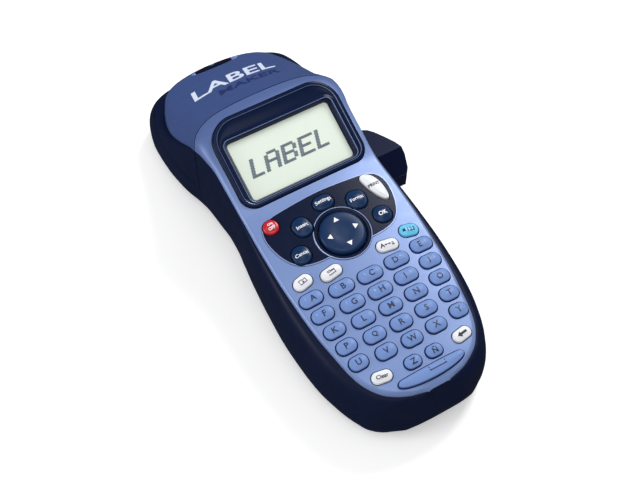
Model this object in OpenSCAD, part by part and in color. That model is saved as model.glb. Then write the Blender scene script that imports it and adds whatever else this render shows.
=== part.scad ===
// Hand-held label maker lying on its back: keypad, display, cassette door,
// side cutter lever, battery bay and the tape drive inside. Millimetres, +Z up,
// +Y towards the head where the label comes out, +X to the reader's right.

/* [Shell] */
// Wall thickness of the housings and the door
wall = 2.2; // [1.8:0.1:2.6]
// Gap between the door and the shells around it
door_gap = 0.35; // [0.3:0.05:0.6]
// How far the key sits above the panel
key_proud = 1.3; // [0.8:0.1:1.8]
// Height of the tub's rim under the door
tub_rim_z = 20; // [18:0.5:22]

/* [Keypad] */
// Distance between letter columns in the top letter row
key_pitch_x = 13; // [12.8:0.1:13.4]
// How much the column distance shrinks from one letter row to the next
pitch_taper = 0.34; // [0.2:0.02:0.36]
// Distance between letter rows along the panel
key_pitch_y = 7.94; // [7.9:0.02:8.1]
// Width of a letter key
key_w = 10.8; // [9.5:0.1:10.9]
// Length of a letter key along the panel
key_h = 6; // [5:0.1:6.1]
// Gap round each key in its opening
key_gap = 0.3; // [0.25:0.05:0.4]
// Travel of a key
key_travel = 1; // [0.6:0.1:1.1]

/* [Display] */
// Slope of the display above the resting plane, in degrees
display_tilt = 23.7; // [22:0.1:25]
// Visible width of the liquid crystal glass
lcd_w = 48; // [44:0.5:50]
// Visible height of the liquid crystal glass
lcd_h = 26; // [22:0.5:27]

/* [Tape and batteries] */
// Width of the label tape
tape_w = 12; // [9:0.5:12]
// Radius of the full roll of tape
roll_r = 14; // [10:0.5:15]
// Diameter of one cell
cell_d = 14.2; // [13.5:0.1:14.5]
// Length of one cell
cell_l = 50.5; // [49:0.5:51]

/* [Hidden] */
LETTERS = "abcdefghijklmnopqrstuvwxy";

NAVY = [0.16, 0.20, 0.36];
PANEL_BLUE = [0.66, 0.74, 0.90];
KEY_BLUE = [0.52, 0.63, 0.84];
FUNCTION_BLUE = [0.22, 0.33, 0.50];
KEY_WHITE = [0.95, 0.95, 0.95];

// Body stations from tail to head, one row each:
// y, half width, half width at the colour edge, height of that edge, height of the top
STATIONS = [
    [-101, 6, 2, 17, 17.4],
    [-100, 11.8, 3, 20.4, 20.8],
    [-98, 17, 3.5, 24, 24.3],
    [-95.5, 21.2, 4.5, 27.3, 28.6],
    [-93.5, 24.3, 12, 27.5, 30.2],
    [-91.5, 26.4, 16.5, 27.7, 30.8],
    [-88.5, 28.6, 21, 28, 31.3],
    [-85, 30.5, 24, 28.3, 31.7],
    [-80, 32.8, 26.8, 28.8, 32.2],
    [-74, 34.8, 28.6, 29.3, 32.8],
    [-66, 36.8, 30, 30.2, 33.7],
    [-55, 38.1, 31.7, 31.3, 34.8],
    [-40, 38.7, 32.8, 32.8, 36.4],
    [-25, 38, 33.3, 34.4, 37.9],
    [-10, 36.7, 33.2, 35.9, 39.5],
    [4, 34.9, 32.7, 37.4, 40.9],
    [9, 34.2, 32.7, 38.6, 42.4],
    [17, 33.9, 32.9, 41.6, 46],
    [27, 34.7, 33.2, 44.8, 50.3],
    [36, 35.5, 34.6, 46.2, 54.3],
    [44, 37.1, 35.4, 43.4, 55.8],
    [50, 38.7, 35.2, 38.8, 53.9],
    [57, 39.8, 35.4, 33.6, 49.9],
    [66, 40.5, 35.6, 28, 44.6],
    [73, 40.6, 35, 24.8, 40.6],
    [80, 40.4, 33.4, 22.8, 36.9],
    [86, 39.5, 31, 22.3, 33.5],
    [91.8, 37.6, 28, 21.9, 30.3],
    [96.9, 33.8, 23.4, 20.4, 26.7],
    [101.3, 25.6, 16, 17.4, 22],
    [104.5, 12.8, 6.8, 11.6, 14.8]
];
// Height of the underside, which the resting plane then cuts flat
UNDERSIDE = [
    [-101, 14], [-100, 11.6], [-98.5, 8.6], [-96.5, 5.8], [-94, 3], [-91.5, 0.8], [-88.5, -1.2],
    [96, -1.2], [100, 0.5], [102.5, 2.6], [104.5, 6]
];
tail_y = STATIONS[0][0];
head_y = STATIONS[len(STATIONS) - 1][0];

function column(n) = [for (s = STATIONS) [s[0], s[n]]];
HALF_WIDTH = column(1);
EDGE_WIDTH = column(2);
EDGE_HEIGHT = column(3);
TOP_HEIGHT = column(4);

// Rounding of the cross-section: square below, rounder over the top
low_power = 2 / 4.5;
side_power = 2 / 2.4;
// Top rounding along the length, softer over the door
TOP_ROUNDING = [[44, 2.6], [57, 2.1]];
waist_share = 0.42;

function mix(a, b, t) = a + (b - a) * t;

// Right half of the cross-section at y, from the bottom centre to the top centre
function half_section(y, inset) =
    let (
        w = lookup(y, HALF_WIDTH) - inset,
        p = max(lookup(y, EDGE_WIDTH) - inset, 1),
        e = lookup(y, EDGE_HEIGHT),
        t = lookup(y, TOP_HEIGHT) - inset,
        edge = min(e, t - 0.2),
        b = lookup(y, UNDERSIDE) + inset,
        m = max(e * waist_share, b + 1),
        top_power = 2 / lookup(y, TOP_ROUNDING)
    )
    concat(
        [for (a = [90, 60, 40, 22, 8]) [w * pow(cos(a), low_power), m - (m - b) * pow(sin(a), low_power)]],
        [for (a = [0, 30, 50, 70]) [mix(p, w, pow(cos(a), side_power)), mix(m, edge, pow(sin(a), side_power))]],
        [for (a = [0, 12, 26, 42, 58, 74, 90]) [p * pow(cos(a), top_power), mix(edge, t, pow(sin(a), top_power))]]
    );

function ring(y, inset) =
    let (right = half_section(y, inset), n = len(right))
    concat(
        [for (q = right) [q[0], y, q[1]]],
        [for (i = [n - 2:-1:1]) [-right[i][0], y, right[i][1]]]
    );

// Closed skin through equal rings of points that run from the tail to the head
module loft(rings) {
    n = len(rings[0]);
    last = len(rings) - 1;
    points = [for (r = rings) for (q = r) q];
    sides = [
        for (k = [0:last - 1])
        for (i = [0:n - 1])
        let (j = (i + 1) % n, a = k * n + i, b = k * n + j, c = a + n, d = b + n)
        each [[a, b, c], [b, d, c]]
    ];
    tail_cap = [[for (i = [n - 1:-1:0]) i]];
    head_cap = [[for (i = [0:n - 1]) last * n + i]];
    polyhedron(points = points, faces = concat(sides, tail_cap, head_cap), convexity = 6);
}

module body_form() {
    intersection() {
        loft([for (s = STATIONS) ring(s[0], 0)]);
        translate([-60, tail_y - 1, 0])
            cube([120, head_y - tail_y + 2, 70]);
    }
}

// The room inside the walls, kept off both ends
module body_room() {
    inner = [for (s = STATIONS) if (s[0] > -97 && s[0] < 98) s[0]];
    intersection() {
        loft([for (y = inner) ring(y, wall)]);
        translate([-60, tail_y, wall])
            cube([120, head_y - tail_y, 70]);
    }
}

// Everything above a line of [y, z] points, over the full width
module above(line) {
    top = 90;
    outline = concat(line, [[line[len(line) - 1][0], top], [line[0][0], top]]);
    rotate([90, 0, 90])
        translate([0, 0, -60])
            linear_extrude(120)
                polygon(outline);
}

// The seam across the front of the door, as seen from above
seam_y = 49.5;
seam_corner_x = 20;
seam_side_y = 35.5;
seam_side_x = 37;
function seam(grow) = [
    for (s = [-1, 1])
    for (a = s < 0 ? [0:15:90] : [90:-15:0])
    [
        s * (seam_corner_x + (seam_side_x - seam_corner_x) * cos(a)),
        seam_side_y + grow + (seam_y - seam_side_y) * sin(a)
    ]
];

module behind_seam(grow, z0) {
    outline = concat(
        [[-60, seam_side_y + grow]], seam(grow), [[60, seam_side_y + grow]],
        [[60, 120], [-60, 120]]
    );
    translate([0, 0, z0])
        linear_extrude(90)
            polygon(outline);
}

// Frame of the keypad: z = 0 is the panel's crest, y runs up the slope
panel_tilt = 5.9;
panel_y = -43.5;
panel_z = 36;
crown = 0.0018;
module on_panel() {
    translate([0, panel_y, panel_z])
        rotate([panel_tilt, 0, 0])
            children();
}

// Frame of the display: z = 0 is the glass, y runs up the slope
display_y = 20.8;
display_z = 46.2;
module on_display() {
    translate([0, display_y, display_z])
        rotate([display_tilt, 0, 0])
            children();
}

// Rounded rectangle drawn as a polygon with arcs of four steps at the corners
function rounded(w, h, r) = [
    for (c = [[1, 1, 0], [-1, 1, 90], [-1, -1, 180], [1, -1, 270]])
    for (a = [0:22.5:90])
    [c[0] * (w / 2 - r) + r * cos(c[2] + a), c[1] * (h / 2 - r) + r * sin(c[2] + a)]
];

// ---- Keys --------------------------------------------------------------

// Name, x, y, width, height, corner radius, turn in degrees
ROUND_KEYS = [
    ["key_on_off", -24.5, 38.2, 6.8, 6.8, 3.3, 0],
    ["key_insert", -13.3, 31.9, 8, 9.2, 3.6, 12],
    ["key_settings", 0, 37.8, 9.4, 7, 3.4, 0],
    ["key_format", 13.2, 32.6, 9, 9, 3.9, -12],
    ["key_ok", 19.3, 21.7, 8.2, 8, 3.6, 0],
    ["key_cancel", -19.8, 20.9, 8, 8.4, 3.6, 0],
    ["key_navigation", 0, 21.7, 19.6, 19.6, 9.7, 0],
    ["key_save", -25.3, 10.2, 8.4, 5.8, 2.8, 12],
    ["key_load", -13.3, 8.2, 9.6, 5.3, 2.6, 8],
    ["key_caps", 13.2, 8.1, 9.6, 5.4, 2.6, -8],
    ["key_numbers", 25, 10.2, 8.4, 5.8, 2.8, -12],
    ["key_clear", -18.5, -39.4, 8.4, 5, 2.4, -10],
    ["key_z", -4.9, -40.1, 7.2, 5.2, 2.5, 0],
    ["key_n_tilde", 4.9, -40.1, 7.2, 5.2, 2.5, 0],
    ["key_backspace", 18.5, -39.4, 8.6, 5, 2.4, 10]
];

// Letter keys stand in five rows of five, closer together towards the tail
function letter_x(n) = (n % 5 - 2) * (key_pitch_x - pitch_taper * floor(n / 5));
function letter_y(n) = -key_pitch_y * floor(n / 5) + 0.0032 * pow(letter_x(n), 2);
function letter_w(n) = key_w - 0.5 * floor(n / 5) - (abs(n % 5 - 2) == 2 ? 0.9 : 0);

module round_outline(k, grow) {
    translate([k[1], k[2]])
        rotate(k[6])
            polygon(rounded(k[3] + 2 * grow, k[4] + 2 * grow, k[5] + grow));
}

module letter_outline(n, grow) {
    translate([letter_x(n), letter_y(n)])
        polygon(rounded(letter_w(n) + 2 * grow, key_h + 2 * grow, key_h / 2 - 0.2 + grow));
}

// Print key: a leaf with a pointed top left and a straight outer side
PRINT_OUTLINE = [
    [19, 40.6], [20.4, 41.9], [22.4, 42], [24.6, 40.5], [26.2, 38], [27, 35], [27.1, 31.6],
    [26.7, 28], [25.4, 26.9], [23.6, 28], [21.8, 31], [20.2, 35.2]
];
print_centre = [23.4, 34.6];

// Space bar: straight along the top, curved along the tail
space_top_y = -44.2;
space_half = 15;
space_depth = 5.2;
function space_outline() = concat(
    [[-space_half + 2.4, space_top_y], [-space_half + 0.4, space_top_y - 0.7]],
    [
        for (a = [180:22.5:360])
        [space_half * cos(a), space_top_y - 1.8 + (space_depth - 1.8) * sin(a)]
    ],
    [[space_half - 0.4, space_top_y - 0.7], [space_half - 2.4, space_top_y]]
);
flange_z = -3;

module print_outline(grow) {
    offset(delta = grow)
        polygon(PRINT_OUTLINE);
}

module space_bar_outline(grow) {
    offset(delta = grow)
        polygon(space_outline());
}

flange_grow = 0.55;
flange_t = 0.9;

// One key: cap through the panel and a flange that keeps it in
module key_solid(x) {
    drop = crown * x * x;
    on_panel() {
        translate([0, 0, flange_z - drop - flange_t])
            linear_extrude(key_proud - flange_z + flange_t)
                children(0);
        translate([0, 0, flange_z - drop - flange_t])
            linear_extrude(flange_t)
                children(1);
    }
}

module round_key(name, tint) {
    k = ROUND_KEYS[search([name], ROUND_KEYS)[0]];
    color(tint)
        key_solid(k[1]) {
            round_outline(k, 0);
            round_outline(k, flange_grow);
        }
}

module letter_key(n) {
    color(KEY_BLUE)
        key_solid(letter_x(n)) {
            letter_outline(n, 0);
            letter_outline(n, flange_grow);
        }
}

module print_key() {
    color(KEY_WHITE)
        key_solid(print_centre[0]) {
            print_outline(0);
            print_outline(flange_grow);
        }
}

module space_key() {
    color(KEY_BLUE)
        key_solid(8) {
            space_bar_outline(0);
            space_bar_outline(0);
        }
}

// All key outlines in one drawing, grown by the gap
module key_outlines(grow) {
    for (k = ROUND_KEYS)
        round_outline(k, grow);
    for (n = [0:24])
        letter_outline(n, grow);
    print_outline(grow);
    space_bar_outline(grow);
}

module key_openings() {
    on_panel()
        translate([0, 0, -5.5])
            linear_extrude(12)
                key_outlines(key_gap);
}

// Room under the panel in which the keys' flanges travel, right half of its outline
WELL_HALF = [
    [28.9, 43.5], [28.9, 26], [30.4, 14], [31.9, 7], [31.9, -3], [31, -10], [30.2, -18],
    [29.3, -26], [28.3, -35], [24.5, -43.2], [15.9, -43.2], [15.9, -50.5]
];
well_floor_z = -8;

module key_well() {
    on_panel()
        translate([0, 0, well_floor_z])
            linear_extrude(flange_z + 0.3 - well_floor_z)
                polygon(concat(
                    WELL_HALF,
                    [for (i = [len(WELL_HALF) - 1:-1:0]) [-WELL_HALF[i][0], WELL_HALF[i][1]]]
                ));
}

// ---- Function panel ----------------------------------------------------

ring_r = 12.4;
nav_y = 21.7;
// Right half of the inlay, from the top centre round to where the ring bulges out
INLAY_HALF = [
    [3, 43.9], [9, 43.6], [16, 43.1], [21, 42.8], [26, 41.6], [29, 38.4], [29.8, 33.5],
    [29, 28], [27.4, 23], [24.8, 18.6], [21, 15.8], [16, 14.5], [10.2, 14.2]
];
module inlay_outline(grow) {
    offset(delta = grow)
        union() {
            polygon(concat(
                INLAY_HALF,
                [for (i = [len(INLAY_HALF) - 1:-1:0]) [-INLAY_HALF[i][0], INLAY_HALF[i][1]]]
            ));
            translate([0, nav_y])
                circle(r = ring_r, $fn = 48);
        }
}

module function_panel() {
    crown_r = 1 / (2 * crown);
    top = 0.15;
    depth = 2.4;
    color(FUNCTION_BLUE)
        difference() {
            on_panel()
                intersection() {
                    translate([0, 0, -depth - 2])
                        linear_extrude(depth + 4)
                            inlay_outline(0);
                    translate([0, 0, top - crown_r])
                        rotate([-90, 0, 0])
                            cylinder(r = crown_r, h = 60, $fn = 360);
                    translate([-40, 0, -depth])
                        cube([80, 60, 10]);
                }
            key_openings();
        }
}

// ---- Housings ----------------------------------------------------------

front_tail_y = -95.5;
RIM_LINE = concat(
    [[tail_y - 5, 60], [front_tail_y, 60]],
    [for (s = STATIONS) if (s[0] >= front_tail_y && s[0] < seam_side_y) [s[0], s[3]]],
    [[seam_side_y, 46.5], [seam_side_y, tub_rim_z], [head_y + 5, tub_rim_z]]
);

// Battery bay under the keypad
bay_y0 = -75;
bay_y1 = -20;
bay_w = 59;
cover_t = 2;
cover_z = 0.3;
cover_hinge_y = bay_y0 + 1.3;
cover_hinge_z = cover_z + cover_t / 2;
cover_peg_r = 0.7;
cover_peg_x = 30.5;
cell_y0 = -72.6;
cell_pitch = 14.6;
cell_z = 10.2;

// Screws that join the two housings: x, y, radius of the front housing's post
screw_r = 1.1;
screw_head_r = 2.4;
boss_r = 3.2;
boss_top = 24;
SCREW_PLACES = [[-18.3, -88.7, 2], [18.3, -88.7, 2], [-28.6, -6, 2.4], [28.6, -6, 2.4]];

// Cutter lever
lever_pivot = [30.4, 29];
lever_pin_r = 2;
lever_hub_r = 3;
lever_z0 = 13.6;
lever_z1 = 32.6;

// Door hinge at the head, low down
hinge_y = 98.5;
hinge_z = 7;
hinge_pin_r = 1.5;
hinge_x = 12;
knuckle_l = 6;

// Tape drive
roller_y = 89.9;
roller_z = 13.5;
roller_r = 4;
shaft_r = 1.5;

module rear_housing() {
    color(NAVY)
        difference() {
            union() {
                difference() {
                    body_form();
                    body_room();
                }
                intersection() {
                    body_form();
                    union() {
                        battery_box();
                        for (s = SCREW_PLACES)
                            translate([s[0], s[1], 0])
                                cylinder(r = boss_r, h = boss_top, $fn = 32);
                        translate([lever_pivot[0], lever_pivot[1], 0])
                            cylinder(r = 4, h = lever_z0 - 0.4, $fn = 32);
                        translate([-37, 38.2, 0])
                            cube([59, 1.8, 32]);
                        for (s = [-1, 1])
                            translate([s * 11 - 1.1, roller_y - 4, 0])
                                cube([2.2, 8, roller_z + 3]);
                    }
                }
                translate([lever_pivot[0], lever_pivot[1], lever_z0 - 2])
                    cylinder(r = lever_pin_r, h = 12, $fn = 32);
            }
            above(RIM_LINE);
            battery_hollow();
            lever_window();
            for (s = SCREW_PLACES) {
                translate([s[0], s[1], -1]) {
                    cylinder(r = screw_r + 0.1, h = boss_top + 2, $fn = 32);
                    cylinder(r = screw_head_r + 0.2, h = 4, $fn = 32);
                }
                translate([s[0], s[1], boss_top])
                    cylinder(r = s[2] + 0.1, h = 12, $fn = 32);
            }
            key_well();
            translate([-cover_peg_x - 0.2, cover_hinge_y, cover_hinge_z])
                rotate([0, 90, 0])
                    cylinder(r = cover_peg_r + 0.05, h = 2 * cover_peg_x + 0.4, $fn = 24);
            translate([-20, roller_y, roller_z])
                rotate([0, 90, 0])
                    cylinder(r = shaft_r + 0.05, h = 40, $fn = 32);
            hinge_notches();
        }
    color(NAVY)
        for (s = [-1, 1])
            translate([s * hinge_x - knuckle_l / 2 - 1, hinge_y, hinge_z])
                rotate([0, 90, 0])
                    cylinder(r = hinge_pin_r, h = knuckle_l + 2, $fn = 32);
}

// Walls and roof round the cells
module battery_box() {
    t = 1.6;
    translate([-bay_w / 2 - t, bay_y0 - t, 0])
        cube([bay_w + 2 * t, bay_y1 - bay_y0 + 2 * t, cell_z + cell_d / 2 + 1 + t]);
}

module battery_hollow() {
    translate([-bay_w / 2, bay_y0, -1])
        cube([bay_w, bay_y1 - bay_y0, cell_z + cell_d / 2 + 2]);
}

module lever_window() {
    translate([26, -2.3, lever_z0 - 0.6])
        cube([20, 27.8, lever_z1 - lever_z0 + 1.2]);
    translate([lever_pivot[0], lever_pivot[1], lever_z0 - 0.4])
        difference() {
            cylinder(r = lever_hub_r + 0.3, h = arm_z1 - lever_z0 + 0.8, $fn = 32);
            translate([0, 0, -1])
                cylinder(r = lever_pin_r, h = 12, $fn = 32);
        }
}

// Room for the door's two hinge leaves in the head wall
module hinge_notches() {
    for (s = [-1, 1])
        translate([s * hinge_x - knuckle_l / 2 - 0.35, hinge_y - 3.2, hinge_z - 3.2])
            cube([knuckle_l + 0.7, 20, 30]);
}

module front_housing() {
    bezel_room = 0.15;
    color(PANEL_BLUE)
        difference() {
            intersection() {
                union() {
                    difference() {
                        body_form();
                        body_room();
                    }
                    intersection() {
                        body_form();
                        for (s = SCREW_PLACES)
                            translate([s[0], s[1], boss_top])
                                cylinder(r = s[2], h = 30, $fn = 32);
                    }
                }
                union() {
                    above(RIM_LINE);
                    for (s = SCREW_PLACES)
                        translate([s[0], s[1], boss_top])
                            cylinder(r = s[2], h = 15, $fn = 32);
                }
            }
            for (s = SCREW_PLACES)
                translate([s[0], s[1], boss_top - 1])
                    cylinder(r = screw_r, h = 6, $fn = 32);
            behind_seam(0, 0);
            key_openings();
            key_well();
            on_panel()
                translate([0, 0, -4])
                    linear_extrude(12)
                        inlay_outline(0.1);
            on_display()
                translate([0, 0, -8])
                    linear_extrude(20)
                        bezel_outline(bezel_room);
        }
}

// ---- Display -----------------------------------------------------------

bezel_w = 60;
bezel_low = -17;
bezel_high = 24;
bezel_low_r = 7;
bezel_high_r = 12;
module bezel_outline(grow) {
    c = [
        [bezel_w / 2 - bezel_high_r, bezel_high - bezel_high_r, bezel_high_r, 0],
        [-bezel_w / 2 + bezel_high_r, bezel_high - bezel_high_r, bezel_high_r, 90],
        [-bezel_w / 2 + bezel_low_r, bezel_low + bezel_low_r, bezel_low_r, 180],
        [bezel_w / 2 - bezel_low_r, bezel_low + bezel_low_r, bezel_low_r, 270]
    ];
    polygon([
        for (q = c)
        for (a = [0:15:90])
        [q[0] + (q[2] + grow) * cos(q[3] + a), q[1] + (q[2] + grow) * sin(q[3] + a)]
    ]);
}

module display_bezel() {
    top = 1.2;
    depth = 3.2;
    window_w = lcd_w + 3;
    window_h = lcd_h + 2;
    color(NAVY)
        on_display()
            difference() {
                translate([0, 0, -depth])
                    linear_extrude(top + depth)
                        bezel_outline(0);
                translate([0, 0, -depth - 1])
                    linear_extrude(top + depth + 2)
                        polygon(rounded(window_w, window_h, 2.5));
            }
}

module lcd_module() {
    glass_t = 3;
    edge = 0.2;
    color([0.88, 0.93, 0.88])
        on_display()
            translate([0, 0, -glass_t])
                linear_extrude(glass_t)
                    polygon(rounded(lcd_w + 3 - 2 * edge, lcd_h + 2 - 2 * edge, 2.3));
}

// ---- Cassette door -----------------------------------------------------

// The label leaves through a slot in the head end of the door
slot_w = 18;
slot_h = 3.2;
slot_y = 98;
slot_z = 25.2;
slot_tilt = -46;
// Extra gap under the door at the head, where its edge dips as it starts to open
head_relief = 0.9;

module cassette_door() {
    low_z = tub_rim_z + door_gap;
    low = [
        [seam_side_y, low_z], [hinge_y - 4.5, low_z],
        [hinge_y + 1.5, low_z + head_relief], [head_y + 5, low_z + head_relief]
    ];
    color(PANEL_BLUE)
        difference() {
            union() {
                intersection() {
                    difference() {
                        body_form();
                        body_room();
                    }
                    behind_seam(door_gap, 0);
                    above(low);
                }
                for (s = [-1, 1])
                    translate([s * hinge_x, 0, 0])
                        hinge_leaf();
            }
            translate([0, slot_y, slot_z])
                rotate([slot_tilt, 0, 0])
                    cube([slot_w, slot_h, 12], center = true);
            for (s = [-1, 1])
                translate([s * hinge_x - knuckle_l, hinge_y, hinge_z])
                    rotate([0, 90, 0])
                        cylinder(r = hinge_pin_r + 0.05, h = 2 * knuckle_l, $fn = 32);
        }
}

// Leaf that reaches down inside the head wall to the hinge pin
module hinge_leaf() {
    translate([-knuckle_l / 2, hinge_y, hinge_z])
        rotate([0, 90, 0])
            cylinder(r = 2.8, h = knuckle_l, $fn = 32);
    rotate([90, 0, 90])
        translate([0, 0, -knuckle_l / 2])
            linear_extrude(knuckle_l)
                polygon([
                    [hinge_y - 2.6, hinge_z + 1], [hinge_y + 2.6, hinge_z + 1],
                    [hinge_y + 0.6, tub_rim_z + 3], [hinge_y - 2.2, tub_rim_z + 3]
                ]);
}

// ---- Cutter ------------------------------------------------------------

// Where the lever's arm drives the blade carriage, at rest
arm_end = [12.5, 87];
arm_z0 = 17.6;
arm_z1 = 19.9;
blade_z = 20.4;
arm_pin_r = 1.2;

// Plan of the thumb piece: a wedge that is thickest at its tail end
THUMB_PLAN = [
    [28.4, 4], [34, 0.6], [46.9, 0.2], [48.2, 1.8], [48.4, 5.4], [46.6, 11], [44, 16],
    [41.4, 20.4], [39.4, 22.8], [36.8, 24.2], [31.4, 25], [31, 28], [28.4, 28]
];

module cutter_lever() {
    reach = arm_end - lever_pivot;
    color(NAVY)
        difference() {
            union() {
                translate([0, 0, lever_z0])
                    linear_extrude(lever_z1 - lever_z0)
                        polygon(THUMB_PLAN);
                translate([lever_pivot[0], lever_pivot[1], lever_z0])
                    cylinder(r = lever_hub_r, h = arm_z1 - lever_z0, $fn = 32);
                translate([lever_pivot[0], lever_pivot[1], arm_z0])
                    rotate([0, 0, atan2(reach[1], reach[0])])
                        translate([0, -1.6, 0])
                            cube([norm(reach) + 1.6, 3.2, arm_z1 - arm_z0]);
                translate([arm_end[0], arm_end[1], arm_z0])
                    cylinder(r = arm_pin_r, h = 4.2, $fn = 32);
            }
            translate([lever_pivot[0], lever_pivot[1], 0])
                cylinder(r = lever_pin_r + 0.05, h = 60, $fn = 32);
        }
}

module cutter_blade() {
    plate_t = 1.2;
    tape_gap = tape_w / 2 + 0.9;
    color([0.75, 0.77, 0.8])
        translate([0, 0, blade_z])
            linear_extrude(plate_t)
                difference() {
                    polygon([[-13, 83.4], [15.2, 83.4], [15.2, 91.2], [9.4, 91.2], [9.4, 89.6], [-13, 89.6]]);
                    polygon([
                        [-tape_gap, 85], [tape_gap, 85], [tape_gap, 87.4], [-tape_gap + 2, 87.4]
                    ]);
                    translate([arm_end[0] - arm_pin_r - 0.35, arm_end[1] - 2])
                        square([2 * arm_pin_r + 0.7, 8]);
                }
}

// ---- Battery cover, cells and screws -----------------------------------

module battery_cover() {
    gap = 0.3;
    w = bay_w / 2 - gap;
    chamfer = 2;
    barrel_half = 27;
    rib_pitch = 1.6;
    color(NAVY) {
        difference() {
            translate([0, bay_y1 - gap, 0])
                rotate([90, 0, 0])
                    linear_extrude(bay_y1 - gap - cover_hinge_y)
                        polygon([
                            [-w, cover_z + 1.3], [-w + chamfer, cover_z], [w - chamfer, cover_z],
                            [w, cover_z + 1.3], [w, cover_z + cover_t], [-w, cover_z + cover_t]
                        ]);
            for (i = [0:3])
                translate([-7, bay_y1 - 9 + i * rib_pitch, cover_z - 1])
                    cube([14, rib_pitch / 2, 1.5]);
        }
        translate([-barrel_half, cover_hinge_y, cover_hinge_z])
            rotate([0, 90, 0])
                cylinder(r = cover_t / 2, h = 2 * barrel_half, $fn = 32);
        translate([-cover_peg_x, cover_hinge_y, cover_hinge_z])
            rotate([0, 90, 0])
                cylinder(r = cover_peg_r, h = 2 * cover_peg_x, $fn = 24);
    }
}

module batteries() {
    nub_r = 2.7;
    nub_l = 1.2;
    for (i = [0:3]) {
        up = i % 2 == 0;
        color([0.8, 0.62, 0.3])
            translate([(i - 1.5) * cell_pitch, up ? cell_y0 : cell_y0 + cell_l, cell_z])
                rotate([up ? -90 : 90, 0, 0]) {
                    cylinder(r = cell_d / 2, h = cell_l - nub_l, $fn = 48);
                    cylinder(r = nub_r, h = cell_l, $fn = 32);
                }
    }
}

module screws() {
    head_z = 0.7;
    head_t = 2;
    for (s = SCREW_PLACES)
        color([0.7, 0.7, 0.72])
            translate([s[0], s[1], head_z])
                difference() {
                    union() {
                        cylinder(r = screw_head_r, h = head_t, $fn = 32);
                        cylinder(r = screw_r, h = boss_top + 4 - head_z, $fn = 32);
                    }
                    for (a = [0, 90])
                        rotate([0, 0, a])
                            translate([-1.5, -0.35, -1])
                                cube([3, 0.7, 1.9]);
                }
}

// ---- Electronics -------------------------------------------------------

// Right half of the circuit board, in the panel's frame
BOARD_HALF = [[14, -42], [20, -40], [23.6, -34], [25.6, -20], [26.6, 0], [26.6, 28], [24, 33], [24, 45]];
mat_z = -6.6;
mat_t = 1.4;
board_z = -8.2;
board_t = 1.6;

module board_outline() {
    polygon(concat(
        BOARD_HALF,
        [for (i = [len(BOARD_HALF) - 1:-1:0]) [-BOARD_HALF[i][0], BOARD_HALF[i][1]]]
    ));
}

// Dome under one key that springs it back
module mat_dome(x, y) {
    top = flange_z - crown * x * x - flange_t - key_travel - 0.25;
    translate([x, y, mat_z - 0.2])
        cylinder(r = 1.7, h = top - mat_z + 0.2, $fn = 24);
}

module keypad_mat() {
    color([0.5, 0.52, 0.56])
        on_panel() {
            translate([0, 0, mat_z - mat_t])
                linear_extrude(mat_t)
                    board_outline();
            for (k = ROUND_KEYS)
                if (abs(k[1]) < 21 && k[2] < 44)
                    mat_dome(k[1], k[2]);
            for (n = [0:24])
                mat_dome(letter_x(n), letter_y(n));
        }
}

module circuit_board() {
    chip_t = 1.6;
    color([0.12, 0.4, 0.22])
        on_panel() {
            translate([0, 0, board_z - board_t])
                linear_extrude(board_t)
                    board_outline();
            translate([-7, 10, board_z - board_t - chip_t])
                cube([14, 14, chip_t]);
            translate([9, -4, board_z - board_t - 1.2])
                cube([8, 5, 1.2]);
        }
}

// ---- Cassette, roller, print head and motor ----------------------------

// Side outline of the cassette, which stands on edge between the head's walls
CASSETTE_SIDE = [[43, 4], [81.8, 4], [81.8, 28], [76, 34], [66, 40.2], [46, 45.5], [43, 42.5]];
cassette_w = 17.2;
cassette_wall = 1.3;
roll_y = 61;
roll_z = 23.6;
hub_r = 3;

module side_extrude(w) {
    rotate([90, 0, 90])
        translate([0, 0, -w / 2])
            linear_extrude(w)
                children();
}

module tape_cassette() {
    color([0.92, 0.92, 0.9]) {
        difference() {
            side_extrude(cassette_w)
                polygon(CASSETTE_SIDE);
            side_extrude(cassette_w - 2 * cassette_wall)
                offset(delta = -cassette_wall)
                    polygon(CASSETTE_SIDE);
            translate([-tape_w / 2 - 0.5, 78, 9])
                cube([tape_w + 1, 6, 4]);
        }
        translate([-cassette_w / 2 + 0.5, roll_y, roll_z])
            rotate([0, 90, 0])
                cylinder(r = hub_r, h = cassette_w - 1, $fn = 32);
    }
}

module tape_spool() {
    color([0.97, 0.97, 0.95])
        translate([-tape_w / 2, roll_y, roll_z])
            rotate([0, 90, 0])
                difference() {
                    cylinder(r = roll_r, h = tape_w, $fn = 64);
                    translate([0, 0, -1])
                        cylinder(r = hub_r + 0.05, h = tape_w + 2, $fn = 32);
                }
}

module platen_roller() {
    roller_l = tape_w + 1.5;
    color([0.15, 0.15, 0.16])
        translate([-roller_l / 2, roller_y, roller_z])
            rotate([0, 90, 0])
                cylinder(r = roller_r, h = roller_l, $fn = 48);
    color([0.7, 0.7, 0.72])
        translate([-17, roller_y, roller_z])
            rotate([0, 90, 0])
                cylinder(r = shaft_r, h = 30.5, $fn = 32);
}

module print_head() {
    color([0.55, 0.5, 0.42]) {
        translate([-8, 82.6, wall])
            cube([16, 1.6, 16]);
        translate([-7, 84, 10])
            cube([14, 1.3, 7]);
    }
}

module drive_motor() {
    motor_r = 5;
    motor_l = 10;
    color([0.7, 0.71, 0.73])
        difference() {
            translate([-13.5 - motor_l, roller_y, roller_z])
                rotate([0, 90, 0])
                    cylinder(r = motor_r, h = motor_l, $fn = 48);
            translate([-18, roller_y, roller_z])
                rotate([0, 90, 0])
                    cylinder(r = shaft_r + 0.05, h = 10, $fn = 32);
        }
}

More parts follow.
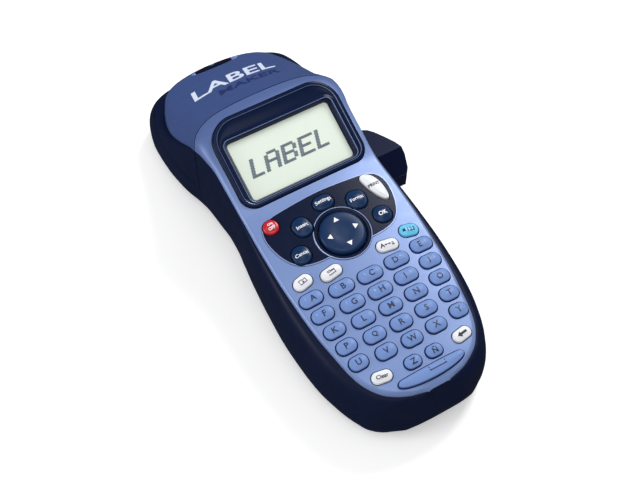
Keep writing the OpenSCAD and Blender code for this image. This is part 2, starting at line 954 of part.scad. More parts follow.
rear_housing();
front_housing();
display_bezel();
lcd_module();
function_panel();
cassette_door();
cutter_lever();
cutter_blade();
battery_cover();
circuit_board();
keypad_mat();
tape_cassette();
tape_spool();
platen_roller();
print_head();
drive_motor();
batteries();
screws();
round_key("key_on_off", [0.78, 0.2, 0.25]);  // key_on_off
round_key("key_insert", FUNCTION_BLUE);  // key_insert
round_key("key_settings", FUNCTION_BLUE);  // key_settings
round_key("key_format", FUNCTION_BLUE);  // key_format
round_key("key_ok", FUNCTION_BLUE);  // key_ok
round_key("key_cancel", FUNCTION_BLUE);  // key_cancel
round_key("key_navigation", FUNCTION_BLUE);  // key_navigation
round_key("key_save", KEY_WHITE);  // key_save
round_key("key_load", KEY_WHITE);  // key_load
round_key("key_caps", KEY_WHITE);  // key_caps
round_key("key_numbers", [0.5, 0.85, 0.93]);  // key_numbers
round_key("key_clear", KEY_WHITE);  // key_clear
round_key("key_z", KEY_BLUE);  // key_z
round_key("key_n_tilde", KEY_BLUE);  // key_n_tilde
round_key("key_backspace", KEY_WHITE);  // key_backspace
print_key();  // key_print
space_key();  // key_space
for (n = [0:24])
    letter_key(n);
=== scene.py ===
import math

import bmesh
import bpy
import numpy as np
from mathutils import Matrix, Vector
from mathutils.bvhtree import BVHTree


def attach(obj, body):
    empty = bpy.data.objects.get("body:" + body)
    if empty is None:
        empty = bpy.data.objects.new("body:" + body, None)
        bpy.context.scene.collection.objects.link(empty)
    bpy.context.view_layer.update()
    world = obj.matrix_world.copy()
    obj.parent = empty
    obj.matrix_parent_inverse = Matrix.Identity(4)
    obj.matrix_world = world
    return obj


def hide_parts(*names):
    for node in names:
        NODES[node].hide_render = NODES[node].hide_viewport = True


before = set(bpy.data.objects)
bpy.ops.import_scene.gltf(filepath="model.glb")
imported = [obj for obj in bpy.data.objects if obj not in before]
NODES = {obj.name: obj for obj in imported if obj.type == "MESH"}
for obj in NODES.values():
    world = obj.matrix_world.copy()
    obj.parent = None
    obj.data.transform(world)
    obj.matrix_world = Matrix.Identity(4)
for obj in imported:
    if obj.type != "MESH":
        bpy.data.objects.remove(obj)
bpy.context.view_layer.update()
MM = 0.001


def add_object(name, data):
    made = bpy.data.objects.new(name, data)
    bpy.context.scene.collection.objects.link(made)
    return made


# ---- Camera ------------------------------------------------------------

AZIMUTH, ELEVATION, ROLL = map(math.radians, (-30.36, 57.05, 0.264))
CAMERA_PLACE = (-129.9, -225.3, 404.9)
FOCAL_LENGTH, SENSOR_WIDTH = 60.18, 36
right = Vector((math.cos(AZIMUTH), math.sin(AZIMUTH), 0))
ahead = Vector((
    -math.sin(AZIMUTH) * math.cos(ELEVATION),
    math.cos(AZIMUTH) * math.cos(ELEVATION),
    -math.sin(ELEVATION),
))
upward = right.cross(ahead)
cam_x = math.cos(ROLL) * right + math.sin(ROLL) * upward
cam_y = math.cos(ROLL) * upward - math.sin(ROLL) * right
camera_data = bpy.data.cameras.new("camera")
camera_data.sensor_width = SENSOR_WIDTH
camera_data.lens = FOCAL_LENGTH
camera = add_object("camera", camera_data)
camera.matrix_world = Matrix.Translation(Vector(CAMERA_PLACE) * MM) @ Matrix(
    (cam_x, cam_y, -ahead)
).transposed().to_4x4()
bpy.context.scene.camera = camera
bpy.context.scene.view_settings.view_transform = "Standard"


# ---- Materials ---------------------------------------------------------


def linear(code):
    """Linear colour of a six-digit sRGB code."""
    parts = [int(code[i:i + 2], 16) / 255 for i in (0, 2, 4)]
    return [c / 12.92 if c < 0.04045 else ((c + 0.055) / 1.055) ** 2.4 for c in parts]


def shader_tools(tree):
    """For a node tree, the function that makes a shader node and the one that links sockets."""
    return lambda kind: tree.nodes.new("ShaderNode" + kind), tree.links.new


def material(
    name, code, rough=0.4, other=None, grain=900.0, bump=0.04, fine=4200.0,
    rough_spread=0.08, metallic=0.0, specular=0.5, cell=False, emission=0.0, painted_shade_fade=None,
):
    """Principled material whose colour, roughness and bump come from noise.

    other is the second colour that the noise mixes in. cell makes the bump flecked instead of
    cloudy. painted_shade_fade is a darker colour that takes over along Y, with the two ends of
    the change in mm: painted shade towards one end.
    """
    mat = bpy.data.materials.new(name)
    mat.use_nodes = True
    mat.node_tree.nodes.clear()
    node, link = shader_tools(mat.node_tree)
    out = node("OutputMaterial")
    bsdf = node("BsdfPrincipled")
    link(bsdf.outputs["BSDF"], out.inputs["Surface"])
    where = node("TexCoord")

    def noise(scale, detail, kind="TexNoise"):
        n = node(kind)
        n.inputs["Scale"].default_value = scale
        if kind == "TexNoise":
            n.inputs["Detail"].default_value = detail
            n.inputs["Roughness"].default_value = 0.6
        link(where.outputs["Object"], n.inputs["Vector"])
        return n.outputs["Fac" if kind == "TexNoise" else "Distance"]

    def ranged(value, lo, hi):
        m = node("MapRange")
        m.inputs["To Min"].default_value = lo
        m.inputs["To Max"].default_value = hi
        link(value, m.inputs["Value"])
        return m.outputs["Result"]

    def math_node(kind, a, b):
        m = node("Math")
        m.operation = kind
        for i, v in enumerate((a, b)):
            if isinstance(v, (int, float)):
                m.inputs[i].default_value = v
            else:
                link(v, m.inputs[i])
        return m.outputs[0]

    broad = noise(60.0, 3.0)
    small = noise(grain, 5.0)
    blend = math_node("ADD", math_node("MULTIPLY", broad, 0.6), math_node("MULTIPLY", small, 0.4))
    base = linear(code)
    second = linear(other) if other else [c * 0.86 for c in base]
    mix = node("Mix")
    mix.data_type = "RGBA"
    mix.inputs["A"].default_value = (*base, 1)
    mix.inputs["B"].default_value = (*second, 1)
    link(ranged(blend, -0.2, 1.0), mix.inputs["Factor"])
    paint = mix.outputs["Result"]
    # painted_shade_fade mixes in a darker colour along Y: painted shade
    if painted_shade_fade:
        far_code, start, end = painted_shade_fade
        split = node("SeparateXYZ")
        along = node("MapRange")
        along.interpolation_type = "SMOOTHSTEP"
        along.inputs["From Min"].default_value = start * MM
        along.inputs["From Max"].default_value = end * MM
        tint = node("Mix")
        tint.data_type = "RGBA"
        tint.inputs["B"].default_value = (*linear(far_code), 1)
        link(where.outputs["Object"], split.inputs[0])
        link(split.outputs["Y"], along.inputs["Value"])
        link(along.outputs["Result"], tint.inputs["Factor"])
        link(paint, tint.inputs["A"])
        paint = tint.outputs["Result"]
    link(paint, bsdf.inputs["Base Color"])
    smudge = noise(220.0, 6.0)
    link(ranged(smudge, rough - rough_spread, rough + rough_spread), bsdf.inputs["Roughness"])
    relief = noise(fine, 2.0, "TexVoronoi" if cell else "TexNoise")
    pits = node("Bump")
    pits.inputs["Strength"].default_value = bump
    pits.inputs["Distance"].default_value = 0.0003
    link(relief, pits.inputs["Height"])
    link(pits.outputs["Normal"], bsdf.inputs["Normal"])
    bsdf.inputs["Metallic"].default_value = metallic
    bsdf.inputs["Specular IOR Level"].default_value = specular
    if emission:
        bsdf.inputs["Emission Color"].default_value = (*base, 1)
        bsdf.inputs["Emission Strength"].default_value = emission
    return mat


NAVY = material("shell_navy", "0D1836", 0.42, "09122C", bump=0.10, specular=0.12, fine=2600)
# Painted shade: the panel's pearl blue darkens towards the head, from y 12 to 46 mm, to meet the lid's
# painted shade
PEARL = material(
    "panel_pearl", "7C92C4", 0.38, "7088BC", bump=0.05, metallic=0.15, cell=True,
    fine=5200, specular=0.45, painted_shade_fade=("566A9E", 12, 46),
)
# Painted shade: the door's top is the panel's pearl blue, given as a darker copy that stands in for its
# shading
SHADED_LID = material(
    "lid_pearl_painted_shade", "445990", 0.36, "3B5087", bump=0.05, metallic=0.2, cell=True,
    fine=5200, specular=0.45,
)
# Painted highlight: light blue on the function panel's edge bead and the crest of the ring round the
# navigation key
RIM_HIGHLIGHT = material("rim_painted_highlight", "8FA2D0", 0.34, "8194C4", metallic=0.2)
LIP = material("slot_lip", "7D97D4", 0.30, "6C88C8", metallic=0.3)
# Painted shade: near black for the cut faces of key holes, gaps, the label slot and the housings' insides
GAP_SHADE = material("cut_edge_painted_shade", "0A1028", 0.55, "060A1C", specular=0.2)
# Painted shade: a darker copy of the panel blue for the front housing's cut faces at the seam and the tail
# end
SEAM_SHADE_BLUE = material("cut_blue_painted_shade", "5F78B4", 0.5, "4F68A4", specular=0.3)
BEZEL = material(
    "bezel_navy", "101D3A", 0.18, "0C1732", bump=0.015, specular=0.12, rough_spread=0.04,
)
# Painted highlight: a light, partly metallic blue on the crests of the bezel's two ridges
BEZEL_HIGHLIGHT = material("bezel_painted_highlight", "6C7CA4", 0.24, "5A6B96", bump=0.02, metallic=0.3)
# Painted light: the display glass glows faintly, though it is no lamp
GLASS_GLOW = material("display_glass", "E2EBDF", 0.3, "DCE6D9", bump=0.01, specular=0.2, emission=0.05)
PIXEL = material("display_segment", "77828A", 0.5, "6E7982", bump=0.01, specular=0.1)
INLAY = material("inlay_navy", "0D1936", 0.34, "09132C", bump=0.05, specular=0.12)
FUNCTION = material("key_function", "123058", 0.34, "0E294E", bump=0.05, specular=0.22)
WHITE = material("key_white", "E6E8EC", 0.36, "DDE0E6", bump=0.04, specular=0.25)
BLUE = material("key_blue", "748FC6", 0.40, "6885BE", bump=0.06, specular=0.22)
# Painted shade: a darker blue for the walls of the blue keys, standing in for the shade round them
KEY_SIDE_SHADE = material("key_side_painted_shade", "3A5490", 0.5, "30498A", bump=0.05, specular=0.15)
RED = material("key_red", "C8202E", 0.30, "B41826", bump=0.04, specular=0.5)
CYAN = material("key_cyan", "6CC6EA", 0.34, "58B6E0", bump=0.04, specular=0.45)
INK_DARK = material("ink_dark", "14204A", 0.5, "0E1838", bump=0.01)
INK_BLACK = material("ink_black", "16181E", 0.5, "101218", bump=0.01)
INK_WHITE = material("ink_white", "F4F6FA", 0.5, "ECEFF6", bump=0.01)
INK_PALE = material("ink_pale", "A9C2F0", 0.5, "9DB8EA", bump=0.01)
INK_LID = material("ink_lid", "D4DCEE", 0.4, "C8D2E8", bump=0.01)
INK_LID_DARK = material("ink_lid_dark", "22306A", 0.45, "1C2A60", bump=0.01)
LEVER = material("lever_navy", "0D173A", 0.36, "09112E", bump=0.08, specular=0.12, fine=2600)
STEEL = material("blade_steel", "C4C8CE", 0.26, "AEB3BA", metallic=1.0, bump=0.03)
BOARD = material("board_green", "1D5A34", 0.42, "174A2B", bump=0.05)
MAT = material("mat_rubber", "8C9098", 0.6, "7E828A", bump=0.08)
CASSETTE = material("cassette_grey", "C9CBC6", 0.45, "BBBDB8", bump=0.08)
TAPE = material("tape_white", "F0F0EA", 0.5, "E4E4DC", bump=0.06, grain=3000)
ROLLER = material("roller_rubber", "1C1C1F", 0.65, "141416", bump=0.12)
HEAD = material("head_ceramic", "A89880", 0.4, "97876F", metallic=0.5, bump=0.04)
MOTOR = material("motor_steel", "A8AAAE", 0.3, "96989C", metallic=1.0, bump=0.04)
CELL = material("cell_wrap", "C9922C", 0.28, "B9821E", metallic=0.55, bump=0.02)
CELL_DARK = material("cell_dark", "1A1A1C", 0.3, "141416", bump=0.02)
SCREW = material("screw_steel", "8E9096", 0.34, "7A7C82", metallic=1.0, bump=0.05)

# The CAD nodes that stay take these materials
KEPT_NODES = {
    "cutter_blade": STEEL, "circuit_board": BOARD, "keypad_mat": MAT, "tape_cassette": CASSETTE,
    "tape_spool": TAPE, "platen_roller": ROLLER, "print_head": HEAD, "drive_motor": MOTOR,
    "screws": SCREW,
}
for node, mat in KEPT_NODES.items():
    if not NODES[node].material_slots:
        NODES[node].data.materials.append(mat)
    for material_slot in NODES[node].material_slots:
        material_slot.material = mat


# ---- Mesh tools, in millimetres ----------------------------------------


class Shape:
    """Vertices in millimetres, faces, and a material index for each face."""

    def __init__(self, verts=(), faces=(), mats=()):
        self.v = [tuple(float(c) for c in p) for p in verts]
        self.f = [tuple(f) for f in faces]
        self.m = list(mats) if len(mats) else [0] * len(self.f)

    def add(self, other):
        n = len(self.v)
        self.v += other.v
        self.f += [tuple(i + n for i in f) for f in other.f]
        self.m += other.m
        return self

    def paint(self, index):
        self.m = [index] * len(self.f)
        return self

    def map(self, fn):
        self.v = [tuple(fn(*p)) for p in self.v]
        return self

    def mesh(self, name, mats):
        me = bpy.data.meshes.new(name)
        me.from_pydata([[c * MM for c in p] for p in self.v], [], self.f)
        for m in mats:
            me.materials.append(m)
        me.polygons.foreach_set("material_index", self.m)
        me.update()
        return me


def loft(rings, mats=None, closed=False):
    """Skin through equal closed rings, capped at both ends, or joined to itself if closed.

    mats gives the material index of the band that starts at each ring.
    """
    n, count = len(rings[0]), len(rings)
    verts = [p for r in rings for p in r]
    faces, ids = [], []
    for k in range(count if closed else count - 1):
        for i in range(n):
            j, kk = (i + 1) % n, (k + 1) % count
            faces.append((k * n + i, k * n + j, kk * n + j, kk * n + i))
            ids.append(mats[k] if mats else 0)
    if not closed:
        faces.append(tuple(range(n - 1, -1, -1)))
        faces.append(tuple((count - 1) * n + i for i in range(n)))
        ids += [mats[0] if mats else 0, mats[-1] if mats else 0]
    return Shape(verts, faces, ids)


def signed_area(pts):
    p = np.asarray(pts, float)
    q = np.roll(p, -1, 0)
    return 0.5 * float(np.sum(p[:, 0] * q[:, 1] - q[:, 0] * p[:, 1]))


def prism(pts, z0, z1, index=0):
    """Straight-sided solid on an outline in X and Y."""
    pts = [tuple(p) for p in pts]
    if signed_area(pts) < 0:
        pts = pts[::-1]
    return loft([[(x, y, z0) for x, y in pts], [(x, y, z1) for x, y in pts]]).paint(index)


def side_prism(pts, x0, x1, index=0):
    """Straight-sided solid on an outline in Y and Z, from x0 to x1."""
    return prism(pts, x0, x1, index).map(lambda a, b, c: (c, a, b))


def block(x0, x1, y0, y1, z0, z1, index=0):
    return prism([(x0, y0), (x1, y0), (x1, y1), (x0, y1)], z0, z1, index)


def disc(r, x, y, z0, z1, n=48, index=0):
    return prism(circle(r, x, y, n), z0, z1, index)


def rod(r, x0, x1, y, z):
    return side_prism(circle(r, y, z, 32), x0, x1)


def circle(r, x=0.0, y=0.0, n=64):
    return [
        (x + r * math.cos(2 * math.pi * i / n), y + r * math.sin(2 * math.pi * i / n))
        for i in range(n)
    ]


def grown(pts, d):
    """Outline moved outward by d along its corners' normals. A negative d moves it inward."""
    p = np.asarray(pts, float)
    sign = 1 if signed_area(p) > 0 else -1
    before, after = p - np.roll(p, 1, 0), np.roll(p, -1, 0) - p

    def normal(e):
        length = np.maximum(np.linalg.norm(e, axis=1, keepdims=True), 1e-9)
        return sign * np.c_[e[:, 1], -e[:, 0]] / length

    n = normal(before) + normal(after)
    length = np.maximum(np.linalg.norm(n, axis=1, keepdims=True), 1e-6)
    n = n / length
    cosine = np.maximum(np.sum(n * normal(before), axis=1, keepdims=True), 0.5)
    return [tuple(q) for q in p + n * d / cosine]


def softened(pts, times):
    """Chaikin's corner cutting."""
    p = np.asarray(pts, float)
    for _ in range(times):
        q = np.roll(p, -1, 0)
        p = np.stack([0.75 * p + 0.25 * q, 0.25 * p + 0.75 * q], 1).reshape(-1, 2)
    return [tuple(v) for v in p]


def rounded(w, h, r, steps=8):
    """Rounded rectangle, counterclockwise from its right side."""
    out = []
    for sx, sy, a0 in ((1, 1, 0), (-1, 1, 90), (-1, -1, 180), (1, -1, 270)):
        for k in range(steps + 1):
            a = math.radians(a0 + 90 * k / steps)
            out.append((sx * (w / 2 - r) + r * math.cos(a), sy * (h / 2 - r) + r * math.sin(a)))
    return out


def placed(pts, x, y, turn=0.0):
    """Outline turned by some degrees and moved to x, y."""
    c, s = math.cos(math.radians(turn)), math.sin(math.radians(turn))
    return [(x + c * a - s * b, y + s * a + c * b) for a, b in pts]


def csg(base, steps, mats):
    """Shape left by boolean operations in turn on a shape, with Blender's manifold solver."""
    target = add_object("target", base.mesh("target", mats))
    tools = [add_object("tool", shape.mesh("tool", mats)) for _, shape in steps]
    for (kind, _), tool in zip(steps, tools):
        mod = target.modifiers.new("boolean", "BOOLEAN")
        mod.operation = kind
        mod.solver = "MANIFOLD"
        mod.object = tool
    graph = bpy.context.evaluated_depsgraph_get()
    me = target.evaluated_get(graph).to_mesh()
    made = Shape(
        [tuple(c / MM for c in v.co) for v in me.vertices],
        [tuple(p.vertices) for p in me.polygons],
        [p.material_index for p in me.polygons],
    )
    for o in [target, *tools]:
        data = o.data
        bpy.data.objects.remove(o)
        bpy.data.meshes.remove(data)
    return made


def piece(name, shape, mats, body, nodes=(), angle=32.0, bevel=0.0, weld=True):
    """Object made of a shape, smooth-shaded up to an angle, riding on a body."""
    me = shape.mesh(name, mats)
    if weld:
        bm = bmesh.new()
        bm.from_mesh(me)
        bmesh.ops.remove_doubles(bm, verts=bm.verts, dist=0.004 * MM)
        bmesh.ops.dissolve_degenerate(bm, edges=bm.edges, dist=0.004 * MM)
        bm.to_mesh(me)
        bm.free()
    me.shade_smooth()
    me.set_sharp_from_angle(angle=math.radians(angle))
    o = add_object(name, me)
    if bevel:
        mod = o.modifiers.new("bevel", "BEVEL")
        mod.width = bevel * MM
        mod.segments = 3
        mod.limit_method = "ANGLE"
        mod.angle_limit = math.radians(angle)
        mod.harden_normals = True
    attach(o, body)
    if nodes:
        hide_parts(*nodes)
    return o


def smoothstep(x, a, b):
    t = min(max((x - a) / (b - a), 0.0), 1.0)
    return t * t * (3 - 2 * t)


# ---- Body form ---------------------------------------------------------

# Stations from tail to head: y, half width, half width at the colour edge,
# height of that edge, height of the top
STATIONS = np.array([
    (-101, 6, 2, 17, 17.4), (-100, 11.8, 3, 20.4, 20.8), (-98, 17, 3.5, 24, 24.3),
    (-95.5, 21.2, 4.5, 27.3, 28.6), (-93.5, 24.3, 12, 27.5, 30.2), (-91.5, 26.4, 16.5, 27.7, 30.8),
    (-88.5, 28.6, 21, 28, 31.3), (-85, 30.5, 24, 28.3, 31.7), (-80, 32.8, 26.8, 28.8, 32.2),
    (-74, 34.8, 28.6, 29.3, 32.8), (-66, 36.8, 30, 30.2, 33.7), (-55, 38.1, 31.7, 31.3, 34.8),
    (-40, 38.7, 32.8, 32.8, 36.4), (-25, 38, 33.3, 34.4, 37.9), (-10, 36.7, 33.2, 35.9, 39.5),
    (4, 34.9, 32.7, 37.4, 40.9), (9, 34.2, 32.7, 38.6, 42.4), (17, 33.9, 32.9, 41.6, 46),
    (27, 34.7, 33.2, 44.8, 50.3), (36, 35.5, 34.6, 46.2, 54.3), (44, 37.1, 35.4, 43.4, 55.8),
    (50, 38.7, 35.2, 38.8, 53.9), (57, 39.8, 35.4, 33.6, 49.9), (66, 40.5, 35.6, 28, 44.6),
    (73, 40.6, 35, 24.8, 40.6), (80, 40.4, 33.4, 22.8, 36.9), (86, 39.5, 31, 22.3, 33.5),
    (91.8, 37.6, 28, 21.9, 30.3), (96.9, 33.8, 23.4, 20.4, 26.7), (101.3, 25.6, 16, 17.4, 22),
    (104.5, 12.8, 6.8, 11.6, 14.8),
])
UNDER_Y = (-101, -100, -98.5, -96.5, -94, -91.5, -88.5, 96, 100, 102.5, 104.5)
UNDER_Z = (14, 11.6, 8.6, 5.8, 3.0, 0.8, -1.2, -1.2, 0.5, 2.6, 6)
WALL = 2.2
CROWN = 0.0018
TAIL_Y, HEAD_Y = -101.0, 104.5
MID_Y, HALF_LENGTH = (TAIL_Y + HEAD_Y) / 2, (HEAD_Y - TAIL_Y) / 2


def stretched(y):
    """Length coordinate that opens up the two rounded ends."""
    y = np.asarray(y, float) - MID_Y
    return np.sign(y) * (math.sqrt(HALF_LENGTH) - np.sqrt(np.maximum(HALF_LENGTH - np.abs(y), 0)))


def monotone(x, xs, ys):
    """Smooth curve through points that never overshoots them (Fritsch-Carlson)."""
    x = np.clip(np.atleast_1d(np.asarray(x, float)), xs[0], xs[-1])
    h, d = np.diff(xs), np.diff(ys) / np.diff(xs)
    m = np.zeros(len(xs))
    m[0], m[-1] = d[0], d[-1]
    for k in range(1, len(xs) - 1):
        if d[k - 1] * d[k] > 0:
            a, b = 2 * h[k] + h[k - 1], h[k] + 2 * h[k - 1]
            m[k] = (a + b) / (a / d[k - 1] + b / d[k])
    k = np.clip(np.searchsorted(xs, x) - 1, 0, len(xs) - 2)
    t = (x - xs[k]) / h[k]
    return (
        (1 + 2 * t) * (1 - t) ** 2 * ys[k] + t * (1 - t) ** 2 * h[k] * m[k]
        + t * t * (3 - 2 * t) * ys[k + 1] + t * t * (t - 1) * h[k] * m[k + 1]
    )


STATION_U = stretched(STATIONS[:, 0])


def station(column, y):
    return float(monotone(stretched(y), STATION_U, STATIONS[:, column])[0])


WAIST_SHARE, UNDER_POWER, SIDE_POWER = 0.42, 4.5, 2.4
# Where the flat keypad panel gives way to the oval head
FLAT_END_Y, OVAL_START_Y = 6, 30
TOP_POWER_Y, TOP_POWER = (44, 57), (2.6, 2.1)


def half_section(y, inset):
    """Right half of the cross-section, bottom centre to top centre, and the colour edge's index."""
    w = station(1, y) - inset
    p = max(station(2, y) - inset, 1.0)
    t = station(4, y) - inset
    e = min(station(3, y), t - 0.2)
    b = float(np.interp(y, UNDER_Y, UNDER_Z)) + inset
    m = max(WAIST_SHARE * e, b + 1)
    w = max(w, p + 0.05)
    pts = []
    for a in np.radians(np.linspace(90, 5, 13)):
        across, down = math.cos(a) ** (2 / UNDER_POWER), math.sin(a) ** (2 / UNDER_POWER)
        pts.append((w * across, m - (m - b) * down))
    pts[0] = (0.0, pts[0][1])
    for a in np.radians(np.linspace(0, 90, 14)[:-1]):
        across, up = math.cos(a) ** (2 / SIDE_POWER), math.sin(a) ** (2 / SIDE_POWER)
        pts.append((p + (w - p) * across, m + (e - m) * up))
    edge = len(pts)
    flat = 1 - smoothstep(y, FLAT_END_Y, OVAL_START_Y)
    rise = t - CROWN * p * p - e
    rx = min(1.1 * max(rise, 0.05), p)
    start = p - rx
    crest = t - CROWN * start * start
    power = float(np.interp(y, TOP_POWER_Y, TOP_POWER))
    for a in np.radians(np.linspace(0, 90, 27)):
        x = p * math.cos(a) ** (2 / power)
        oval = e + (t - e) * max(1 - (x / p) ** power, 0) ** (1 / power)
        if x > start:
            level = e + (crest - e) * math.sqrt(max(1 - ((x - start) / rx) ** 2, 0))
        else:
            level = t - CROWN * x * x
        pts.append((x, flat * level + (1 - flat) * oval))
    pts[-1] = (0.0, pts[-1][1])
    return pts, edge


def form(inset=0.0, y0=TAIL_Y, y1=HEAD_Y, floor=0.0):
    """Closed body form: material 0 on the sides, 1 on the top."""
    ends = np.arange(0, 10.1, 0.14)
    near = HALF_LENGTH - (math.sqrt(HALF_LENGTH) - np.minimum(ends, 10.049)) ** 2
    ys = {round(float(v), 3) for v in np.arange(-88.2, 92, 1.8)}
    ys |= {round(float(MID_Y + s * v), 3) for v in near for s in (-1, 1) if v > 88}
    ys |= {TAIL_Y, HEAD_Y}
    ys = [y for y in sorted(ys) if y0 <= y <= y1]
    if ys[0] > y0:
        ys.insert(0, y0)
    if ys[-1] < y1:
        ys.append(y1)
    rings, edge = [], 0
    for y in ys:
        half, edge = half_section(y, inset)
        half = [(x, max(z, floor)) for x, z in half]
        ring = [(x, y, z) for x, z in half] + [(-x, y, z) for x, z in half[-2:0:-1]]
        rings.append(ring[::-1])
    n = len(rings[0])
    body = loft(rings)

    def climb(i):
        """Place of a ring's point on its half section, counted from the bottom centre."""
        j = n - 1 - i % n
        return min(j, n - j)

    for k in range(len(rings) - 1):
        for i in range(n):
            body.m[k * n + i] = 1 if min(climb(i), climb(i + 1)) >= edge else 0
    return body


SEAM_Y, SEAM_CORNER_X, SEAM_SIDE_Y, SEAM_SIDE_X = 49.5, 20.0, 35.5, 37.0
TUB_RIM_Z = 20.0
DOOR_GAP = 0.35


def seam(grow):
    """Outline in X and Y of the seam between the front housing and the door."""
    half = []
    for a in np.radians(np.linspace(0, 90, 25)):
        half.append((
            SEAM_CORNER_X + (SEAM_SIDE_X - SEAM_CORNER_X) * math.cos(a),
            SEAM_SIDE_Y + grow + (SEAM_Y - SEAM_SIDE_Y) * math.sin(a),
        ))
    left = [(-x, y) for x, y in half]
    return [(-60, SEAM_SIDE_Y + grow)] + left + half[::-1] + [(60, SEAM_SIDE_Y + grow)]


def behind_seam(grow, index):
    """All the space on the head's side of the seam."""
    return prism(seam(grow) + [(60, 120), (-60, 120)], 0, 90, index)


def above(line, index):
    """All the space above a line in Y and Z."""
    return side_prism(line + [(line[-1][0], 90), (line[0][0], 90)], -60, 60, index)


FRONT_TAIL_Y = -95.5
rim_ys = [FRONT_TAIL_Y, *np.arange(-94.8, SEAM_SIDE_Y, 0.9)]
RIM_LINE = (
    [(-106, 60), (FRONT_TAIL_Y, 60)]
    + [(float(y), station(3, y) - 0.05) for y in rim_ys]
    + [(SEAM_SIDE_Y, 46.5), (SEAM_SIDE_Y, TUB_RIM_Z), (110, TUB_RIM_Z)]
)

# ---- Panel and display frames ------------------------------------------

PANEL_TILT, PANEL_Y, PANEL_Z = 5.9, -43.5, 36.0
DISPLAY_TILT, DISPLAY_Y, DISPLAY_Z = 23.7, 20.8, 46.2


def tilted(shape, tilt, y0, z0):
    c, s = math.cos(math.radians(tilt)), math.sin(math.radians(tilt))
    return shape.map(lambda x, y, z: (x, y0 + c * y - s * z, z0 + s * y + c * z))


def on_panel(shape):
    return tilted(shape, PANEL_TILT, PANEL_Y, PANEL_Z)


def crowned(shape):
    """Bends a shape in the panel's frame over the panel's crown, then places it."""
    return on_panel(shape.map(lambda x, y, z: (x, y, z - CROWN * x * x)))


def on_display(shape):
    return tilted(shape, DISPLAY_TILT, DISPLAY_Y, DISPLAY_Z)


# ---- Keys --------------------------------------------------------------

# Name, x, y, width, height, corner radius, turn in degrees
ROUND_KEYS = [
    ("on_off", -24.5, 38.2, 6.8, 6.8, 3.3, 0), ("insert", -13.3, 31.9, 8, 9.2, 3.6, 12),
    ("settings", 0, 37.8, 9.4, 7, 3.4, 0), ("format", 13.2, 32.6, 9, 9, 3.9, -12),
    ("ok", 19.3, 21.7, 8.2, 8, 3.6, 0), ("cancel", -19.8, 20.9, 8, 8.4, 3.6, 0),
    ("navigation", 0, 21.7, 19.6, 19.6, 9.7, 0), ("save", -25.3, 10.2, 8.4, 5.8, 2.8, 12),
    ("load", -13.3, 8.2, 9.6, 5.3, 2.6, 8), ("caps", 13.2, 8.1, 9.6, 5.4, 2.6, -8),
    ("numbers", 25, 10.2, 8.4, 5.8, 2.8, -12), ("clear", -18.5, -39.4, 8.4, 5, 2.4, -10),
    ("z", -4.9, -40.1, 7.2, 5.2, 2.5, 0), ("n_tilde", 4.9, -40.1, 7.2, 5.2, 2.5, 0),
    ("backspace", 18.5, -39.4, 8.6, 5, 2.4, 10),
]
LETTERS = "abcdefghijklmnopqrstuvwxy"
KEY_GAP, KEY_PROUD, KEY_LOW = 0.4, 1.3, -3.9
PRINT_OUTLINE = [
    (19, 40.6), (20.4, 41.9), (22.4, 42), (24.6, 40.5), (26.2, 38), (27, 35), (27.1, 31.6),
    (26.7, 28), (25.4, 26.9), (23.6, 28), (21.8, 31), (20.2, 35.2),
]
INLAY_HALF = [
    (3, 43.9), (9, 43.6), (16, 43.1), (21, 42.8), (26, 41.6), (29, 38.4), (29.8, 33.5),
    (29, 28), (27.4, 23), (24.8, 18.6), (21, 15.8), (16, 14.5), (10.2, 14.2),
]
NAV_Y, RING_R = 21.7, 12.4


def letter_place(n):
    x = (n % 5 - 2) * (13 - 0.34 * (n // 5))
    y = -7.94 * (n // 5) + 0.0032 * x * x
    w = 10.8 - 0.5 * (n // 5) - (0.9 if abs(n % 5 - 2) == 2 else 0)
    return x, y, w


def space_outline():
    half, top, depth = 15.0, -44.2, 5.2
    pts = [(-half + 2.4, top), (-half + 0.4, top - 0.7)]
    for a in np.radians(np.linspace(180, 360, 33)):
        pts.append((half * math.cos(a), top - 1.8 + (depth - 1.8) * math.sin(a)))
    pts += [(half - 0.4, top - 0.7), (half - 2.4, top)]
    return pts


def even(pts, n):
    """Closed outline resampled at n equal steps."""
    p = np.asarray(pts, float)
    q = np.vstack([p, p[:1]])
    run = np.r_[0, np.cumsum(np.linalg.norm(np.diff(q, axis=0), axis=1))]
    at = np.linspace(0, run[-1], n, endpoint=False)
    return [(float(np.interp(a, run, q[:, 0])), float(np.interp(a, run, q[:, 1]))) for a in at]


KEY_OUTLINES = {}
for name, x, y, w, h, r, turn in ROUND_KEYS:
    KEY_OUTLINES[name] = (placed(rounded(w, h, r, 10), x, y, turn), (x, y), turn)
for n, letter in enumerate(LETTERS):
    x, y, w = letter_place(n)
    KEY_OUTLINES[letter] = (placed(rounded(w, 6.0, 2.8, 10), x, y), (x, y), 0)
KEY_OUTLINES["print"] = (even(softened(PRINT_OUTLINE, 3)[::-1], 96), (23.6, 34.4), 0)
KEY_OUTLINES["space"] = (even(softened(space_outline(), 1), 96), (0.0, -46.6), 0)


